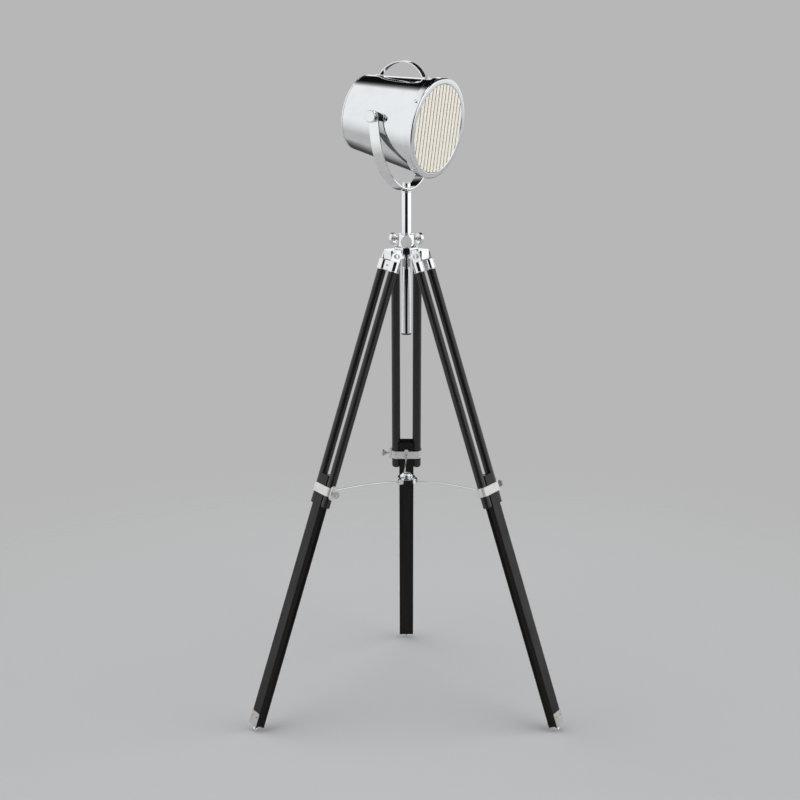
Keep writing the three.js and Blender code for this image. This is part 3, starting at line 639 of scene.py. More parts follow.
def reeded_glass(name):
    """Frosted warm glass with painted light: a painted glow, brightest on the rib crests, stands in for
    the light from behind, and painted shade darkens the roots of its ribs.
    """
    made, g = new_material(name)
    place = g.stretched((1, 1, 1))
    spot = g.node("ShaderNodeSeparateXYZ", Vector=place)
    radius = (BEZEL_OPENING - LENS_EDGE) * MM
    across = g.math("DIVIDE", g.math("ADD", spot.outputs[0], radius), 2 * radius / LENS_RIBS)
    from_crest = g.math("ABSOLUTE", g.math("SUBTRACT", g.math("FRACT", across), 0.5))
    # Painted shade: a mask that is 1 along the roots of the ribs, where the base colour is darkened.
    rib_root_painted_shade = g.ramp(from_crest, 0.36, 0.47)
    cloud = g.noise(place, 0.03, 3.0)
    fine = g.noise(g.stretched((1, 1, 0.2)), 0.003, 2.0, 0.6)
    tone = g.blend(g.ramp(cloud, 0.35, 0.7), linear(247, 242, 230), linear(240, 234, 219))
    # Painted shade: the base colour turns dark warm brown along the rib roots.
    tone = g.blend(rib_root_painted_shade, tone, linear(92, 86, 76))
    rough = g.ramp(fine, 0.3, 0.7, 0.34, 0.44)
    # Painted light: the glass itself emits, brightest on the rib crests and dark at the roots, in place
    # of the bulb's light shining through it.
    painted_backlight = g.ramp(rib_root_painted_shade, 0.0, 1.0, 0.22, 0.0, smooth=False)
    painted_backlight = g.times(painted_backlight, g.ramp(cloud, 0.3, 0.7, 0.9, 1.1))
    g.principled(
        Base_Color=tone,
        Roughness=rough,
        Transmission_Weight=0.06,
        IOR=1.5,
        # The emission is painted light on the glass, not a lamp.
        Emission_Color=(1.0, 0.95, 0.87, 1),
        Emission_Strength=painted_backlight,
        Normal=g.bump(fine, 0.00004, 1.0),
    )
    return made


ribbed = (reeded_glass("ribbed_glass"), "ribbed_glass")


# ---- Small parts -------------------------------------------------------------------------------
def screw_head(radius, height, drive="cross"):
    """A domed head standing on z = 0, with a drive recess in its top."""
    dome = [(0, -1.2), (radius * 0.6, -1.2), (radius * 0.6, 0)]
    dome += fillet([(radius * 0.6, 0), (radius, 0), (radius, height * 0.35)], 0.3)[1:]
    for k in range(1, 9):
        angle = math.pi / 2 * k / 8
        dome.append((radius * math.cos(angle), height * (0.35 + 0.65 * math.sin(angle))))
    dome[-1] = (0, height)
    head = lathe(dome, "z", 40)
    long, thin, floor = radius * 0.55, radius * 0.14, height * 0.45
    if drive == "hex":
        wide = radius * 0.62
        recess = [(0, floor), (wide, floor), (wide, height + 1), (0, height + 1)]
        return cut(head, lathe(recess, "z", 6))
    slot = block((-long, -thin, floor), (long, thin, height + 1))
    if drive == "slot":
        return cut(head, moved(slot, Matrix.Diagonal((1.6, 1, 1, 1))))
    return cut(head, slot, block((-thin, -long, floor), (thin, long, height + 1)))


def thumbscrew(shank, disc, start, end):
    """A disc on a shoulder along x, with a dished and stepped face; its shank is separate."""
    edge = 1.0
    outline = [
        (0, start - 4.5, 0), (shank + 2.6, start - 4.5), (shank + 2.6, start - 3.2, 0.2),
        (shank + 1.9, start - 2.8, 0.2), (shank + 1.9, start), (disc - 3.2, start, 0.6),
        (disc - 2.2, start - 0.9, 0.6), (disc - edge, start - 0.9, 0.4),
        (disc, start + edge * 0.6, 0.5), (disc, end - edge, 0.5), (disc - edge, end, 0.4),
        (0, end, 0),
    ]
    return lathe(fillet(outline, 0.5), "x", 96)


# ---- Head --------------------------------------------------------------------------------------
drum_slope = (DRUM_FRONT_RADIUS - DRUM_BACK_RADIUS) / (DRUM_FRONT - DRUM_BACK)


def drum_radius(along):
    return DRUM_BACK_RADIUS + (along - DRUM_BACK) * drum_slope


def drum_shell():
    window = 9
    middle = -DRUM_AHEAD
    outline = [
        (DRUM_BACK_RADIUS - DRUM_WALL, DRUM_BACK), (DRUM_BACK_RADIUS, DRUM_BACK),
        (drum_radius(middle - window), middle - window, 0),
        (drum_radius(middle + window), middle + window, 0), (DRUM_FRONT_RADIUS, DRUM_FRONT),
        (DRUM_FRONT_RADIUS - DRUM_WALL, DRUM_FRONT),
        (drum_radius(middle + window) - DRUM_WALL, middle + window, 0),
        (drum_radius(middle - window) - DRUM_WALL, middle - window, 0),
    ]
    wall = lathe_ring(outline, 0.6, "y", 192)
    return cut(wall, rod("x", BUSH_SLEEVE + 2 * GAP, -120, 120, (0, -DRUM_AHEAD, AXIS_DROP)))


def back_cover():
    outer = DRUM_BACK_RADIUS
    lip = outer - DRUM_WALL - GAP
    face = BACK_FACE
    outline = [
        (0, face + 0.9), (19, face + 0.9), (20.5, face), (27, face), (28.5, face + 1.1),
        (31, face + 1.1), (32.5, face), (73, face), (74.2, face + 0.9), (76, face + 0.9),
        (77.2, face), (outer, face, 4.2), (outer, DRUM_BACK - GAP, 0.4),
        (lip, DRUM_BACK - GAP, 0.2), (lip, DRUM_BACK + 7, 0.5), (lip - 1.4, DRUM_BACK + 7, 0.5),
        (lip - 1.4, face + 2.2, 1.5), (0, face + 2.2),
    ]
    dish = lathe(fillet(outline, 0.7, steps=5), "y", 160)
    slot = prism(stadium(9, 2.5), face - 2, face + 5, "y")
    slots = []
    for k in range(10):
        slots.append(moved(copy_of(slot), turn(36 * k, "Y") @ move(60, 0, 0)))
    bpy.data.objects.remove(slot)
    gland_hole = rod("y", GLAND_HOLE, face - 5, face + 8, (0, 0, -GLAND_DROP))
    return cut(dish, gland_hole, *slots)


def rim_bezel():
    inside = DRUM_FRONT_RADIUS + 0.5
    seat = DRUM_FRONT + 4.2
    outline = [
        (inside, SKIRT_BACK, 0.3), (inside + 1.6, SKIRT_BACK, 0.6),
        (inside + 2, DRUM_FRONT + 0.6, 0.5), (BEZEL_RADIUS - 0.4, DRUM_FRONT + 1.4, 0.5),
        (BEZEL_RADIUS, DRUM_FRONT + 2.4, 0.6), (BEZEL_RADIUS, BEZEL_FRONT - 2.6, 1.2),
        (BEZEL_RADIUS - 1.6, BEZEL_FRONT, 1.4), (BEZEL_OPENING + 1.2, BEZEL_FRONT, 1.0),
        (BEZEL_OPENING, BEZEL_FRONT - 1.4, 0.8), (BEZEL_OPENING, seat, 0.2),
        (inside, seat, 0.2),
    ]
    return lathe_ring(outline, 0.5, "y", 224, 4)


def ribbed_lens():
    """Half-round ribs on a round plate; the columns of points are closer where ribs meet."""
    back = DRUM_FRONT + GAP
    face = back + 3.6
    radius = BEZEL_OPENING - LENS_EDGE
    pitch = 2 * radius / LENS_RIBS
    steps, rows = 14, 40
    bm = bmesh.new()
    columns = []
    for k in range(LENS_RIBS * steps + 1):
        part = (k % steps) / steps
        swing = 0.5 - 0.5 * math.cos(math.pi * part)
        x = -radius + (k // steps + swing) * pitch
        if k == LENS_RIBS * steps:
            x = radius
        bulge = 2.6 * math.sqrt(max(0.0, 1 - (2 * swing - 1) ** 2)) if part else 0.0
        tall = math.sqrt(max(radius**2 - x**2, 0.25))
        front, rear = [], []
        for row in range(rows + 1):
            z = tall * (2 * row / rows - 1)
            front.append(bm.verts.new((x, face + 0.8 + bulge, z)))
            rear.append(bm.verts.new((x, back, z)))
        columns.append((front, rear))
    for (front, rear), (next_front, next_rear) in zip(columns, columns[1:]):
        for row in range(rows):
            bm.faces.new([front[row], next_front[row], next_front[row + 1], front[row + 1]])
            bm.faces.new([rear[row], rear[row + 1], next_rear[row + 1], next_rear[row]])
        bm.faces.new([front[0], rear[0], next_rear[0], next_front[0]])
        bm.faces.new([front[-1], next_front[-1], next_rear[-1], rear[-1]])
    for front, rear in (columns[0], columns[-1]):
        for row in range(rows):
            bm.faces.new([front[row], front[row + 1], rear[row + 1], rear[row]])
    return shape(bm)


def reflector():
    mouth = DRUM_FRONT_RADIUS - DRUM_WALL - 3.2
    front = DRUM_FRONT - 8
    throat, bottom, steps = 24, -50, 40
    inner = []
    for i in range(steps + 1):
        radius = throat + (mouth - 6 - throat) * i / steps
        depth = (radius**2 - throat**2) / ((mouth - 6) ** 2 - throat**2)
        inner.append((radius, bottom + (front - bottom) * depth))
    outer = [(radius + 1.2, along - 1.2) for radius, along in reversed(inner)]
    rim = arc((mouth, front - 0.6), 0.6, 90, -90, 6)
    return lathe(inner + rim + outer, "y", 160, closed=True)


def lamp_holder():
    back = BACK_FACE + 2.2 + GAP
    outline = [(0, back), (28, back), (28, back + 2.5), (17, back + 5)]
    along = back + 5
    while along < -79:
        outline += [(17, along + 1.2), (16.2, along + 1.7), (16.2, along + 2.4), (17, along + 2.9)]
        along += 3.4
    outline += [(17, -75), (20, -73), (20, -45), (14.3, -45), (14.3, -70), (0, -70)]
    return lathe(fillet(outline, 0.35), "y", 96)


def bulb_globe():
    outline = [(0, -44), (13, -44), (13.4, -40)]
    outline += fillet([(13.4, -40), (13.6, -28), (17, -12)], 6, steps=6)[1:]
    outline += arc((0, 18), 30, -54, 90, 24)
    return lathe(outline, "y", 96)


def bulb_cap():
    outline = [(0, -69), (4, -69), (5, -67.5), (12.4, -66)]
    along = -66
    while along < -47:
        outline += [(13.2, along + 0.9), (12.3, along + 1.8)]
        along += 1.9
    outline += [(13.2, -46), (13.2, -44.2), (0, -44.2)]
    return lathe(fillet(outline, 0.3), "y", 64)


def handle_path():
    """The middle of the strip: part of an ellipse with feet turned outward on the wall."""
    lift = GAP + HANDLE_THICKNESS / 2
    back, front = HANDLE_ARCH_ENDS
    half, middle = (front - back) / 2 / math.cos(HANDLE_SPRING), (front + back) / 2
    cut_off = math.sin(HANDLE_SPRING)
    rise = (HANDLE_RISE - HANDLE_THICKNESS / 2) / (1 - cut_off)

    def foot(start, end):
        alongs = [start + (end - start) * k / 12 for k in range(13)]
        return [(along, drum_radius(along) + lift) for along in alongs]

    arch = []
    steps = 84
    for k in range(1, steps):
        angle = math.pi - HANDLE_SPRING - (math.pi - 2 * HANDLE_SPRING) * k / steps
        along = middle + half * math.cos(angle)
        arch.append((along, drum_radius(along) + lift + rise * (math.sin(angle) - cut_off)))
    points = foot(HANDLE_ENDS[0], back) + arch + foot(front, HANDLE_ENDS[1])
    # The corners between feet and arch are bent, not folded.
    for _ in range(3):
        inner = [
            tuple((Vector(a) + Vector(b) * 2 + Vector(c)) / 4)
            for a, b, c in zip(points, points[1:], points[2:])
        ]
        points = [points[0]] + inner + [points[-1]]
    return points


def carry_handle():
    path = handle_path()
    half = HANDLE_WIDTH / 2
    widths = []
    for along, _ in path:
        inset = min(along - HANDLE_ENDS[0], HANDLE_ENDS[1] - along)
        near = min(max(inset / 5, 0.0), 1.0)
        widths.append(half * math.sqrt(max(1 - (1 - near) ** 2, 0.05)))
    return strip(path, widths, HANDLE_THICKNESS, 0.6, lambda w, a, b: (w, a, b))


def pivot_bush():
    """A sleeve through the wall and a waisted round spacer between drum and arm."""
    arm_face = YOKE_HALF_WIDTH - YOKE_THICKNESS / 2 - GAP
    wall = STUD_TIP + 9
    outline = [
        (STUD_RADIUS + GAP, STUD_TIP), (BUSH_SLEEVE, STUD_TIP), (BUSH_SLEEVE, wall),
        (BUSH_SPACER - 1.4, wall, 0.8), (BUSH_SPACER, wall + 1.6, 1.0),
        (BUSH_SPACER, wall + 3.4, 1.0), (BUSH_SPACER - 1.3, wall + 4.2, 0.5),
        (BUSH_SPACER - 1.3, wall + 5.0, 0.5), (BUSH_SPACER, wall + 5.8, 1.0),
        (BUSH_SPACER, arm_face - 1.2, 1.0), (BUSH_SPACER - 1.6, arm_face, 0.6),
        (STUD_RADIUS + GAP, arm_face),
    ]
    return lathe_ring(outline, 0.3, "x", 80)


def tilt_knob():
    face = YOKE_HALF_WIDTH + YOKE_THICKNESS / 2 + GAP
    outline = [
        (0, STUD_TIP), (STUD_RADIUS - 0.5, STUD_TIP), (STUD_RADIUS, STUD_TIP + 0.6),
        (STUD_RADIUS, face), (10.5, face, 0.4), (10.5, face + 1.6, 0.7), (8, face + 1.9, 0.3),
        (8, face + 2.6, 0.3), (11.6, face + 3.0, 0.5), (KNOB_RADIUS, face + 4.2, 0.5),
        (KNOB_RADIUS, face + 10.2, 0.8), (KNOB_RADIUS - 1.1, face + 11.5, 0.5),
        (KNOB_RADIUS - 2.4, face + 11.8, 0.3), (0, face + 11.8),
    ]
    return lathe(fillet(outline, 0.3), "x", 96)


def cable_gland():
    outline = [(3.5, BACK_FACE - 9), (6, BACK_FACE - 9)]
    outline += [(8.5, BACK_FACE - 5), (8.5, BACK_FACE - GAP), (5.7, BACK_FACE - GAP)]
    outline += [(5.7, BACK_FACE + 5), (3.5, BACK_FACE + 5)]
    return lathe_ring(outline, 0.7, "y", 64)


piece(drum_shell(), "drum_shell_skin", "head", DRUM, chrome, ["drum_shell"])
piece(back_cover(), "back_cover_skin", "head", DRUM, chrome, ["back_cover"])
piece(rim_bezel(), "rim_bezel_skin", "head", DRUM, chrome, ["rim_bezel"])
piece(ribbed_lens(), "lens_glass", "head", DRUM, ribbed, ["ribbed_lens"], sharp=50)
piece(reflector(), "reflector_bowl", "head", DRUM, aluminium, ["reflector"])
piece(lamp_holder(), "lamp_holder_body", "head", DRUM, ceramic, ["lamp_holder"])
piece(bulb_globe(), "bulb_globe", "head", DRUM, opal, ["bulb"])
piece(bulb_cap(), "bulb_cap", "head", DRUM, brass)
piece(carry_handle(), "carry_handle_strip", "head", DRUM, chrome, ["carry_handle"], sharp=50)
gland = moved(cable_gland(), move(0, 0, -GLAND_DROP))
piece(gland, "cable_gland_body", "head", DRUM, black_plastic, ["cable_gland"])
for end, along in zip(("rear", "front"), HANDLE_SCREWS):
    seat = DRUM @ move(0, along, drum_radius(along) + HANDLE_THICKNESS + 2 * GAP)
    seat = seat @ frame_of(math.atan(drum_slope), "X")
    sided(screw_head(*HANDLE_SCREW), "handle_screw", "head", end, "head", seat, chrome)
for spot, angle in RIM_SCREW_ANGLES.items():
    seat = DRUM @ turn(angle, "Y") @ move(0, RIM_SCREW_AT, DRUM_FRONT_RADIUS + 2.3)
    seat = seat @ turn(angle, "Z")
    sided(screw_head(*RIM_SCREW, "hex"), "rim_screw", "head", spot, "head", seat, chrome)
for side, flip in (("near", 0), ("far", 180)):
    place = HEAD @ turn(flip, "Z")
    sided(pivot_bush(), "pivot_bush", "body", side, "head", place, black_plastic)
    place = PIVOT @ turn(flip, "Z")
    sided(tilt_knob(), "tilt_knob", "body", side, "tilt_knob_" + side, place, chrome)


# ---- Yoke --------------------------------------------------------------------------------------
def yoke():
    half = YOKE_STRIP / 2
    top = PIVOT_RISE + half
    steps = 128
    bow = []
    for k in range(steps + 1):
        angle = -math.pi * k / steps
        bow.append((YOKE_HALF_WIDTH * math.cos(angle), YOKE_DEPTH * (1 + math.sin(angle))))
    arm = [(YOKE_HALF_WIDTH, top - (top - YOKE_DEPTH) * k / 48) for k in range(48)]
    path = arm + bow + [(-x, z) for x, z in reversed(arm)]
    widths = []
    for _, z in path:
        above = max(0.0, z - PIVOT_RISE)
        widths.append(math.sqrt(max(half**2 - above**2, 1.0)))
    band = strip(path, widths, YOKE_THICKNESS, 0.5, lambda w, a, b: (a, w, b))
    reach = YOKE_HALF_WIDTH + 10
    stud = rod("x", STUD_RADIUS + GAP, -reach, reach, (0, 0, PIVOT_RISE), 32)
    nipple = moved(
        rod("z", NIPPLE_RADIUS + GAP, -10, 10, sides=32),
        frame_of(-YOKE_LEAN, "X"),
    )
    return cut(band, nipple, stud)


piece(yoke(), "yoke_band", "yoke", LEANING, strip_chrome, ["yoke"], sharp=50)


# ---- Column ------------------------------------------------------------------------------------
def column():
    washer = COLUMN_TOP - 3
    outline = [
        (COLUMN_BORE, COLUMN_BOTTOM, 0.3), (COLUMN_RADIUS, COLUMN_BOTTOM, 0.6),
        (COLUMN_RADIUS, washer - 0.5, 0.2), (COLUMN_RADIUS - 0.5, washer - 0.25, 0.1),
        (COLUMN_RADIUS + 0.7, washer, 0.4), (COLUMN_RADIUS + 0.7, COLUMN_TOP, 0.7),
        (SEAT_RADIUS, COLUMN_TOP + 1.2, 0.8), (NIPPLE_RADIUS, COLUMN_TOP + 1.5, 0.2),
    ]
    thread = COLUMN_TOP + 2.1
    while thread < NUT_TOP - 1:
        outline += [(NIPPLE_RADIUS, thread, 0.1), (NIPPLE_RADIUS - 0.5, thread + 0.4, 0.1)]
        thread += 0.8
    outline += [
        (NIPPLE_RADIUS - 0.4, NUT_TOP, 0.2), (NIPPLE_BORE, NUT_TOP, 0.2),
        (NIPPLE_BORE, washer - 6, 0.2), (COLUMN_BORE, washer - 6, 0.2),
    ]
    return lathe_ring(outline, 0.3, "z", 96)


piece(column(), "column_tube", "column", LAMP, chrome, ["column"])
bush = [
    (5, COLUMN_BOTTOM - 3, 0.8), (COLUMN_RADIUS, COLUMN_BOTTOM - 3, 0.9),
    (COLUMN_RADIUS, COLUMN_BOTTOM - GAP, 0.3), (COLUMN_BORE - GAP, COLUMN_BOTTOM - GAP, 0.2),
    (COLUMN_BORE - GAP, COLUMN_BOTTOM + 12, 0.5), (5, COLUMN_BOTTOM + 12, 0.5),
]
bush = lathe_ring(bush, 0.3, "z", 72)
piece(bush, "column_end_bush_body", "column", LAMP, black_plastic, ["column_end_bush"])
nut = [
    (NIPPLE_RADIUS + GAP, YOKE_BOTTOM + 2.5, 0.4), (NUT_RADIUS, YOKE_BOTTOM + 3, 0.6),
    (NUT_RADIUS, NUT_TOP, 1.1), (NIPPLE_RADIUS + GAP, NUT_TOP, 0.6),
]
nut = lathe_ring(nut, 0.3, "z", 96, 5)
piece(nut, "yoke_nut_body", "column", LAMP, chrome, ["yoke_nut"])


# ---- Crown and column clamp --------------------------------------------------------------------
def crown():
    half = LUG_HALF_WIDTH
    inset = LUG_REACH - LUG_CORNER
    outline = [
        (0, -half),
        *arc((inset, -half + LUG_CORNER), LUG_CORNER, -90, 0, 10),
        *arc((inset, half - LUG_CORNER), LUG_CORNER, 0, 90, 10),
        (0, half),
    ]
    disc = rod("z", CROWN_DISC_RADIUS, CROWN_DISC_BOTTOM, CROWN_TOP, sides=96)
    relief = rod("z", CROWN_RELIEF, CROWN_BOTTOM - 5, CROWN_DISC_BOTTOM, sides=72)
    lugs, pins = [], []
    for azimuth in LEG_AZIMUTHS.values():
        lugs.append(moved(prism(outline, CROWN_BOTTOM, CROWN_TOP), turn(azimuth, "Z")))
        pin = rod("y", STUD_RADIUS + GAP, -30, 30, (HINGE_RADIUS, 0, HINGE_HEIGHT), 32)
        pins.append(moved(pin, turn(azimuth, "Z")))
    bore = rod("z", COLUMN_RADIUS + GAP, CROWN_BOTTOM - 5, CROWN_TOP + 5, sides=72)
    return cut(join(disc, *lugs), relief, bore, *pins)


def column_clamp():
    bottom = CROWN_TOP + GAP
    flare = arc((CLAMP_BASE_RADIUS, bottom + 13.5), 9, 270, 180, 10)
    top = [(CLAMP_RADIUS, bottom + 20), (CLAMP_RADIUS, CLAMP_TOP), (COLUMN_RADIUS + 2.4, CLAMP_TOP)]
    outline = [
        (COLUMN_RADIUS + GAP, bottom), (CLAMP_BASE_RADIUS - 0.6, bottom),
        (CLAMP_BASE_RADIUS, bottom + 0.6), (CLAMP_BASE_RADIUS, bottom + 3.6),
        (CLAMP_BASE_RADIUS - 0.5, bottom + 4.4),
        *flare,
        *fillet(top, 1.6)[1:-1],
        (COLUMN_RADIUS + 1.2, CLAMP_TOP),
        (COLUMN_RADIUS + GAP, CLAMP_TOP - 0.8),
    ]
    return lathe(outline, "z", 96, closed=True)


piece(crown(), "crown_casting", "crown", LAMP, chrome, ["crown"], bevel=0.9, segments=3)
piece(column_clamp(), "column_clamp_body", "crown", LAMP, chrome, ["column_clamp"])
for side, azimuth in KNOB_AZIMUTHS.items():
    place = LAMP @ turn(azimuth, "Z") @ move(0, 0, CLAMP_KNOB_HEIGHT)
    name = "clamp_knob_" + side
    head = thumbscrew(3, CLAMP_KNOB_RADIUS, CLAMP_KNOB_START, CLAMP_KNOB_END)
    piece(head, name + "_head", name, place, chrome, [name])
    face = [(0, 37), (CLAMP_KNOB_RADIUS - 1.3, 37), (CLAMP_KNOB_RADIUS - 1.3, 38, 0.15), (0, 38)]
    piece(lathe(fillet(face, 0.1), "x", 80), name + "_face", name, place, blasted)
    shank = [(0, COLUMN_RADIUS + GAP), (2.4, COLUMN_RADIUS + GAP), (3, COLUMN_RADIUS + 1)]
    along = COLUMN_RADIUS + 1
    while along < 24:
        shank += [(3.1, along + 0.3), (2.6, along + 0.75)]
        along += 0.9
    shank += [(3, 25.6), (0, 25.6)]
    piece(lathe(shank, "x", 48), name + "_shank", name, place, brass)


# ---- Legs --------------------------------------------------------------------------------------
def leg_bracket():
    inner, radius = LUG_HALF_WIDTH + EAR_CLEARANCE, 10.5
    outer = inner + EAR_THICKNESS
    outline = [(-radius, -14), (radius, -14), *arc((0, 0), radius, 0, 180, 24)]
    ears = [prism(outline, inner, outer, "y"), prism(outline, -outer, -inner, "y")]
    cup = [
        (0, -SOCKET_TOP, 0), (SOCKET_RADIUS, -SOCKET_TOP, 1.6),
        (SOCKET_RADIUS, -SOCKET_END + 2.2, 0.4), (SOCKET_RADIUS + 0.5, -SOCKET_END + 1.6, 0.4),
        (SOCKET_RADIUS + 0.5, -SOCKET_END, 0.5), (ROD_RADIUS + GAP, -SOCKET_END, 0.3),
        (ROD_RADIUS + GAP, -SOCKET_TOP - 2.5, 0.2), (0, -SOCKET_TOP - 2.5, 0),
    ]
    cups, rooms = [], []
    for side in (-1, 1):
        cups.append(moved(lathe(fillet(cup, 0.4, steps=4), "z", 72), move(0, side * ROD_OFFSET, 0)))
        rooms.append(rod("z", ROD_RADIUS + 1, -60, -SOCKET_TOP - 1, (0, side * ROD_OFFSET, 0)))
    web = block((-3, -14, -SOCKET_END + 2), (5, 14, -SOCKET_TOP - 1.5))
    pin = rod("y", STUD_RADIUS + GAP, -40, 40, sides=32)
    solid = cut(join(web, *ears), pin, *rooms)
    return join(solid, *cups)


def hinge_bolt():
    face = LUG_HALF_WIDTH + EAR_CLEARANCE + EAR_THICKNESS + GAP
    half = [(0, 0, 0), (STUD_RADIUS, 0, 0), (STUD_RADIUS, face, 0.1)]
    half += [(6.2, face, 0.5), (6.2, face + 2.2, 0.9), (4.6, face + 3.4, 0.6)]
    half += [(3.4, face + 3.4, 0.2), (3.4, face + 1.4, 0.1), (0, face + 1.4, 0)]
    half = fillet(half, 0.3)[1:]
    whole = [(r, -h) for r, h in reversed(half)] + half
    return lathe([p for i, p in enumerate(whole) if i == 0 or p != whole[i - 1]], "y", 48)


def leg_rod():
    top = -SOCKET_TOP - 3
    outline = [(0, top, 0), (ROD_RADIUS, top, 0.5), (ROD_RADIUS, -ROD_END, 3.6), (0, -ROD_END, 0)]
    return lathe(fillet(outline, 1, steps=6), "z", 64)


def lower_bar():
    half, depth = BAR_WIDTH / 2, BAR_DEPTH / 2
    groove = ROD_RADIUS + GAP
    reach = math.degrees(math.acos((ROD_OFFSET - half) / groove))
    right = arc((0, ROD_OFFSET), groove, 270 - reach, 270 + reach, 24)
    left = arc((0, -ROD_OFFSET), groove, 90 - reach, 90 + reach, 24)
    outline = [(-depth, half), *right, (depth, half), (depth, -half), *left, (-depth, -half)]
    return prism(outline, -BAR_END, -BAR_START)


def collar():
    inner = BAR_DEPTH / 2 + GAP
    outer = inner + COLLAR_WALL
    low = -COLLAR_AT - COLLAR_HEIGHT / 2
    high = low + COLLAR_HEIGHT
    end = ROD_OFFSET + outer - 1

    def tube(radius, more):
        outline = [(-y, x) for x, y in stadium(ROD_OFFSET, radius, 24)]
        return prism(outline, low - more, high + more)

    lug = block((-outer - 2, -5, -COLLAR_AT - 8), (-outer + 0.5, 5, high + 2))
    cheeks = []
    for side in (-1, 1):
        near, far = sorted((side * 2.4, side * 4.4))
        outline = [(-outer - 1, -COLLAR_AT - 4.5), (-outer - 1, -COLLAR_AT + 4.5)]
        outline += arc((-EYE_INSET, -COLLAR_AT), 4.5, 90, 270, 14)
        cheeks.append(prism(outline, near, far, "y"))
    extras = [
        block((-5, end, low - 1), (5, end + 5.5, high + 1)),
        rod("y", 5, end, end + 5.5, (0, 0, low - 1), 40),
        rod("y", 5, end, end + 5.5, (0, 0, high + 1), 40),
        rod("x", 5, -outer - 2, -outer + 0.5, (0, 0, high + 2), 40),
        rod("y", 1.2, -5, 5, (-EYE_INSET, 0, -COLLAR_AT), 20),
    ]
    whole = join(tube(outer, 0), lug, *cheeks, *extras)
    return cut(whole, tube(inner, 20), rod("y", 2.6, ROD_OFFSET, end + 10, (0, 0, -COLLAR_AT), 32))


def foot_plate():
    face = BAR_DEPTH / 2 + GAP
    half = BAR_WIDTH / 2
    low, high = -BAR_END, -BAR_END + FOOT_PLATE_LENGTH
    outline = [(-half, low), (half, low), (half, high), (-half, high)]
    outline = fillet(outline, 2.2, closed=True, steps=5)
    return prism(outline, face, face + FOOT_PLATE_THICKNESS, "x")


def foot_radius():
    return HINGE_RADIUS + BAR_END * math.sin(LEG_TILT) + FOOT_OFFSET * math.cos(LEG_TILT)


def ball_foot():
    centre = FOOT_RADIUS - FOOT_FLAT
    ball = arc((0, centre), FOOT_RADIUS, math.degrees(math.asin(-centre / FOOT_RADIUS)), 64, 16)
    stem = ball[-1][0]
    outline = [(0, 0), *ball, (stem, 11.6), (4.6, 12), (4.6, 13.2), (stem, 13.6), (stem, 20), (0, 20)]
    foot = moved(lathe(outline, "z", 56), move(foot_radius(), 0, 0))
    room = block((-40, -40, -BAR_END - GAP), (40, 40, -BAR_END + 60))
    room = moved(room, move(HINGE_RADIUS, 0, HINGE_HEIGHT) @ frame_of(-LEG_TILT, "Y"))
    return cut(foot, room)


def spreader_rod():
    outer = Vector(
        (
            HINGE_RADIUS + COLLAR_AT * math.sin(LEG_TILT) - EYE_INSET * math.cos(LEG_TILT),
            0,
            HINGE_HEIGHT - COLLAR_AT * math.cos(LEG_TILT) - EYE_INSET * math.sin(LEG_TILT),
        )
    )
    inner = Vector((HUB_PIVOT_RADIUS, SPREADER_OFFSET, HUB_PIVOT_HEIGHT))
    start = outer - Vector((EYE_RADIUS - 0.8, 0, 0))
    end = inner + Vector((EYE_RADIUS - 0.8, 0, 0))
    middle = start.lerp(end, 0.62) + Vector((0, 0, 2 * SPREADER_ARCH))
    made = wire(bend(start, middle, end, 40), SPREADER_ROD_RADIUS)
    flat = SPREADER_ROD_RADIUS
    eyes = []
    for spot in (outer, inner):
        ring = [(1.7, -flat), (EYE_RADIUS, -flat), (EYE_RADIUS, flat), (1.7, flat)]
        eyes.append(moved(lathe_ring(ring, 0.4, "y", 40), move(*spot)))
    return join(made, *eyes)


plate_face = BAR_DEPTH / 2 + GAP + FOOT_PLATE_THICKNESS
eye_face = BAR_DEPTH / 2 + GAP + COLLAR_WALL + 2
for side in LEG_AZIMUTHS:
    leg, body, lower = LEG[side], "leg_" + side, "lower_leg_" + side
    sided(leg_bracket(), "leg_bracket", "casting", side, body, leg, chrome, bevel=0.5)
    sided(hinge_bolt(), "hinge_bolt", "body", side, body, leg, chrome)
    for letter, sign in (("a", 1), ("b", -1)):
        place = leg @ move(0, sign * ROD_OFFSET, 0)
        name = f"leg_rod_{letter}_{side}"
        piece(leg_rod(), name + "_wood", body, place, rod_wood, [name])
    bar = lower_bar()
    sided(bar, "lower_bar", "wood", side, lower, leg, bar_wood, bevel=0.9, segments=3)
    sided(collar(), "collar", "band", side, body, leg, satin, bevel=0.35)
    sided(foot_plate(), "foot_plate", "sheet", side, lower, leg, mottled, bevel=0.4)
    place = leg @ move(0, 0, -COLLAR_AT) @ turn(90, "Z")
    name = "collar_knob_" + side
    head = thumbscrew(2.2, COLLAR_KNOB_RADIUS, COLLAR_KNOB_START, COLLAR_KNOB_END)
    piece(head, name + "_head", name, place, mottled, [name])
    shank = lathe([(0, 34.7), (1.8, 34.7), (2.2, 35.2), (2.2, 49.2), (0, 49.2)], "x", 40)
    piece(shank, name + "_shank", name, place, mottled)
    place, name = SIDE[side], "spreader_rod_" + side
    sided(ball_foot(), "ball_foot", "turned", side, lower, place, chrome)
    sided(spreader_rod(), "spreader_rod", "wire", side, name, place, chrome)
    place = leg @ move(5, 0, -(SOCKET_TOP + SOCKET_END) / 2) @ turn(90, "Y")
    piece(screw_head(*WEB_SCREW), "web_screw_" + side, body, place, brass)
    place = leg @ move(-eye_face, 0, -COLLAR_AT + 12) @ turn(-90, "Y")
    piece(screw_head(*COLLAR_SCREW), "collar_screw_" + side, body, place, chrome)
    for number, across in ((1, -9), (2, 9)):
        place = leg @ move(plate_face, across, -BAR_END + 20) @ turn(90, "Y")
        piece(screw_head(*PLATE_SCREW), f"plate_screw_{number}_{side}", lower, place, brass)


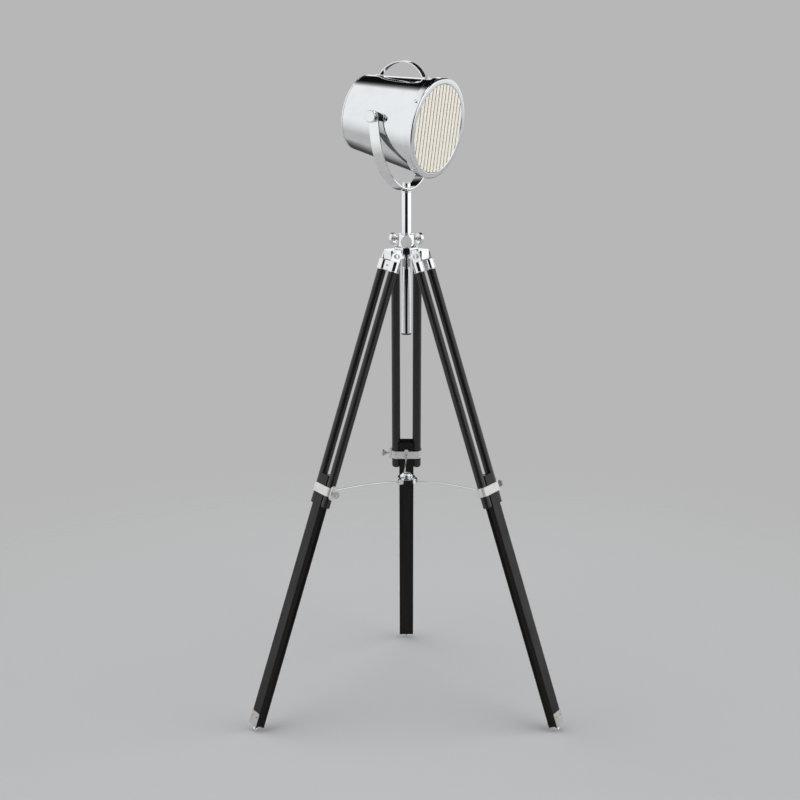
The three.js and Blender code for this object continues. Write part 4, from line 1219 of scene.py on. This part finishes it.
# ---- Spreader hub ------------------------------------------------------------------------------
def spreader_hub():
    under = HUB_PIVOT_HEIGHT + EYE_RADIUS + 1
    outline = [(3, under), (HUB_RADIUS, under), (HUB_RADIUS, under + 4), (3, under + 4)]
    disc = lathe_ring(outline, 0.8, "z", 96)
    inner = SPREADER_OFFSET - SPREADER_ROD_RADIUS - HUB_CLEARANCE
    outer = SPREADER_OFFSET + SPREADER_ROD_RADIUS + HUB_CLEARANCE
    low, high = HUB_PIVOT_HEIGHT - 5, under + 2
    outline = [(CHEEK_START, low), (CHEEK_END, low), (CHEEK_END, high), (CHEEK_START, high)]
    outline = fillet(outline, 2.6, closed=True, steps=5)
    cheeks, slots = [], []
    for azimuth in LEG_AZIMUTHS.values():
        around = turn(azimuth, "Z")
        for near, far in ((inner - CHEEK_THICKNESS, inner), (outer, outer + CHEEK_THICKNESS)):
            cheeks.append(moved(prism(outline, near, far, "y"), around))
        slot = block((CHEEK_START - 1, inner, under - 1), (30, outer, under + 5))
        slots.append(moved(slot, around))
    return cut(join(disc, *cheeks), *slots)


def hub_cap():
    base = HUB_PIVOT_HEIGHT + EYE_RADIUS + 5 + GAP
    outline = [
        (0, base, 0), (11.5, base, 0.5), (11.5, base + 4, 1.4), (8, base + 8.6, 1.6),
        (4, base + 9, 0.8), (3, base + 10.4, 0.6), (0, base + 11, 0),
    ]
    return lathe(fillet(outline, 0.5, steps=5), "z", 72)


piece(spreader_hub(), "spreader_hub_disc", "spreader_hub", LAMP, chrome, ["spreader_hub"], bevel=0.3)
piece(hub_cap(), "hub_cap_turned", "spreader_hub", LAMP, chrome, ["hub_cap"])


# ---- Stage -------------------------------------------------------------------------------------
BACKDROP = linear(183, 183, 183)
FLOOR_RADIUS = 2.1
FLOOR_FADE = 0.7


def floor():
    bm = bmesh.new()
    bmesh.ops.create_circle(bm, cap_ends=True, segments=128, radius=FLOOR_RADIUS)
    obj = shape(bm)
    obj.name = "floor"
    obj.location = (0, 0, -0.0005)
    made, g = new_material("floor_paper")
    place = g.stretched((1, 1, 1))
    grain = g.noise(place, 0.004, 3.0)
    tone = g.blend(grain, (0.79, 0.79, 0.79, 1), (0.81, 0.81, 0.81, 1))
    matte = g.node("ShaderNodeBsdfDiffuse", Color=tone)
    clear = g.node("ShaderNodeBsdfTransparent")
    spot = g.node("ShaderNodeSeparateXYZ", Vector=place)
    squares = [g.math("POWER", spot.outputs[i], 2.0) for i in (0, 1)]
    far = g.math("SQRT", g.math("ADD", *squares))
    mix = g.node("ShaderNodeMixShader", Fac=g.ramp(far, FLOOR_FADE, FLOOR_RADIUS))
    g.feed(mix, "1", matte.outputs[0])
    g.feed(mix, "2", clear.outputs[0])
    g.close(mix.outputs[0])
    obj.data.materials.append(made)


def studio():
    """A soft studio as directions: azimuth from the front, to the right, and height.

    The camera itself sees the plain backdrop, and everything else sees the studio.
    """
    world = bpy.data.worlds.new("studio")
    bpy.context.scene.world = world
    world.use_nodes = True
    g = Graph(world.node_tree)
    direction = g.node("ShaderNodeTexCoord").outputs["Generated"]
    axes = g.node("ShaderNodeSeparateXYZ", Vector=direction)
    x, y, z = axes.outputs
    azimuth = g.times(g.math("ARCTAN2", x, g.times(y, -1)), 180 / math.pi)
    height = g.times(g.math("ARCSINE", z), 180 / math.pi)
    aside = g.math("ABSOLUTE", azimuth)

    def between(value, low, low_soft, high, high_soft):
        rising = g.ramp(value, low, low + low_soft)
        falling = g.ramp(value, high - high_soft, high, 1, 0)
        return g.times(rising, falling)

    def panel(sides, ends, level):
        return g.times(g.times(sides, ends), level)

    def without(light, mask, left_over):
        return g.times(light, g.ramp(mask, 0, 1, 1, left_over, smooth=False))

    light = g.ramp(height, -30, 20, 0.52, 0.46)
    left_side = between(azimuth, -168, 42, -29, 5)
    right_side = between(azimuth, 29, 5, 146, 6)
    panels = (
        panel(left_side, between(height, -64, 60, 86, 26), 0.97),
        panel(right_side, between(height, -17.5, 10, 66, 14), 1.2),
        panel(g.ramp(aside, 118, 130), between(height, -4, 4, 21, 5), 1.05),
    )
    for each in panels:
        light = g.math("MAXIMUM", light, each)
    rear = g.ramp(aside, 128, 160)
    light = without(light, g.times(rear, g.ramp(height, 17, 24)), 0.01)
    right_rear = g.times(between(azimuth, 106, 12, 156, 8), g.ramp(height, 5, 12))
    light = without(light, right_rear, 0.02)
    low_rear = g.times(g.ramp(aside, 146, 160), between(height, -44, 10, -2, 4))
    low_side = g.times(g.ramp(aside, 124, 138), between(height, -46, 8, -17, 6))
    light = without(light, g.math("MAXIMUM", low_rear, low_side), 0.12)
    light = without(light, g.ramp(height, 64, 76), 0.01)
    front = g.times(g.ramp(aside, 26, 34, 1, 0), between(height, -42, 16, 30, 16))
    light = without(light, front, 0.02)
    light = g.math("MAXIMUM", light, g.ramp(height, 76, 84, 0, 3))
    shade = g.node("ShaderNodeCombineColor")
    for i, tint in enumerate((0.985, 1, 1.01)):
        g.feed(shade, str(i), g.times(light, tint))
    seen = g.node("ShaderNodeBackground", Color=BACKDROP)
    lit = g.node("ShaderNodeBackground", Color=shade.outputs[0])
    path = g.node("ShaderNodeLightPath")
    mix = g.node("ShaderNodeMixShader", Fac=path.outputs["Is Camera Ray"])
    g.feed(mix, "1", lit.outputs[0])
    g.feed(mix, "2", seen.outputs[0])
    g.close(mix.outputs[0], "ShaderNodeOutputWorld")


floor()
studio()

camera_data = bpy.data.cameras.new("camera")
camera_data.lens = CAMERA_LENS
camera_data.sensor_width = 36
camera_data.shift_x = -0.008
camera_data.clip_end = 50
camera = bpy.data.objects.new("camera", camera_data)
camera.location = (0, LAMP.translation.y - CAMERA_DISTANCE * MM, CAMERA_HEIGHT * MM)
camera.rotation_euler = (math.radians(90 - CAMERA_DIP), 0, 0)
bpy.context.scene.collection.objects.link(camera)
bpy.context.scene.camera = camera
bpy.context.scene.view_settings.view_transform = "Standard"

bpy.context.view_layer.update()
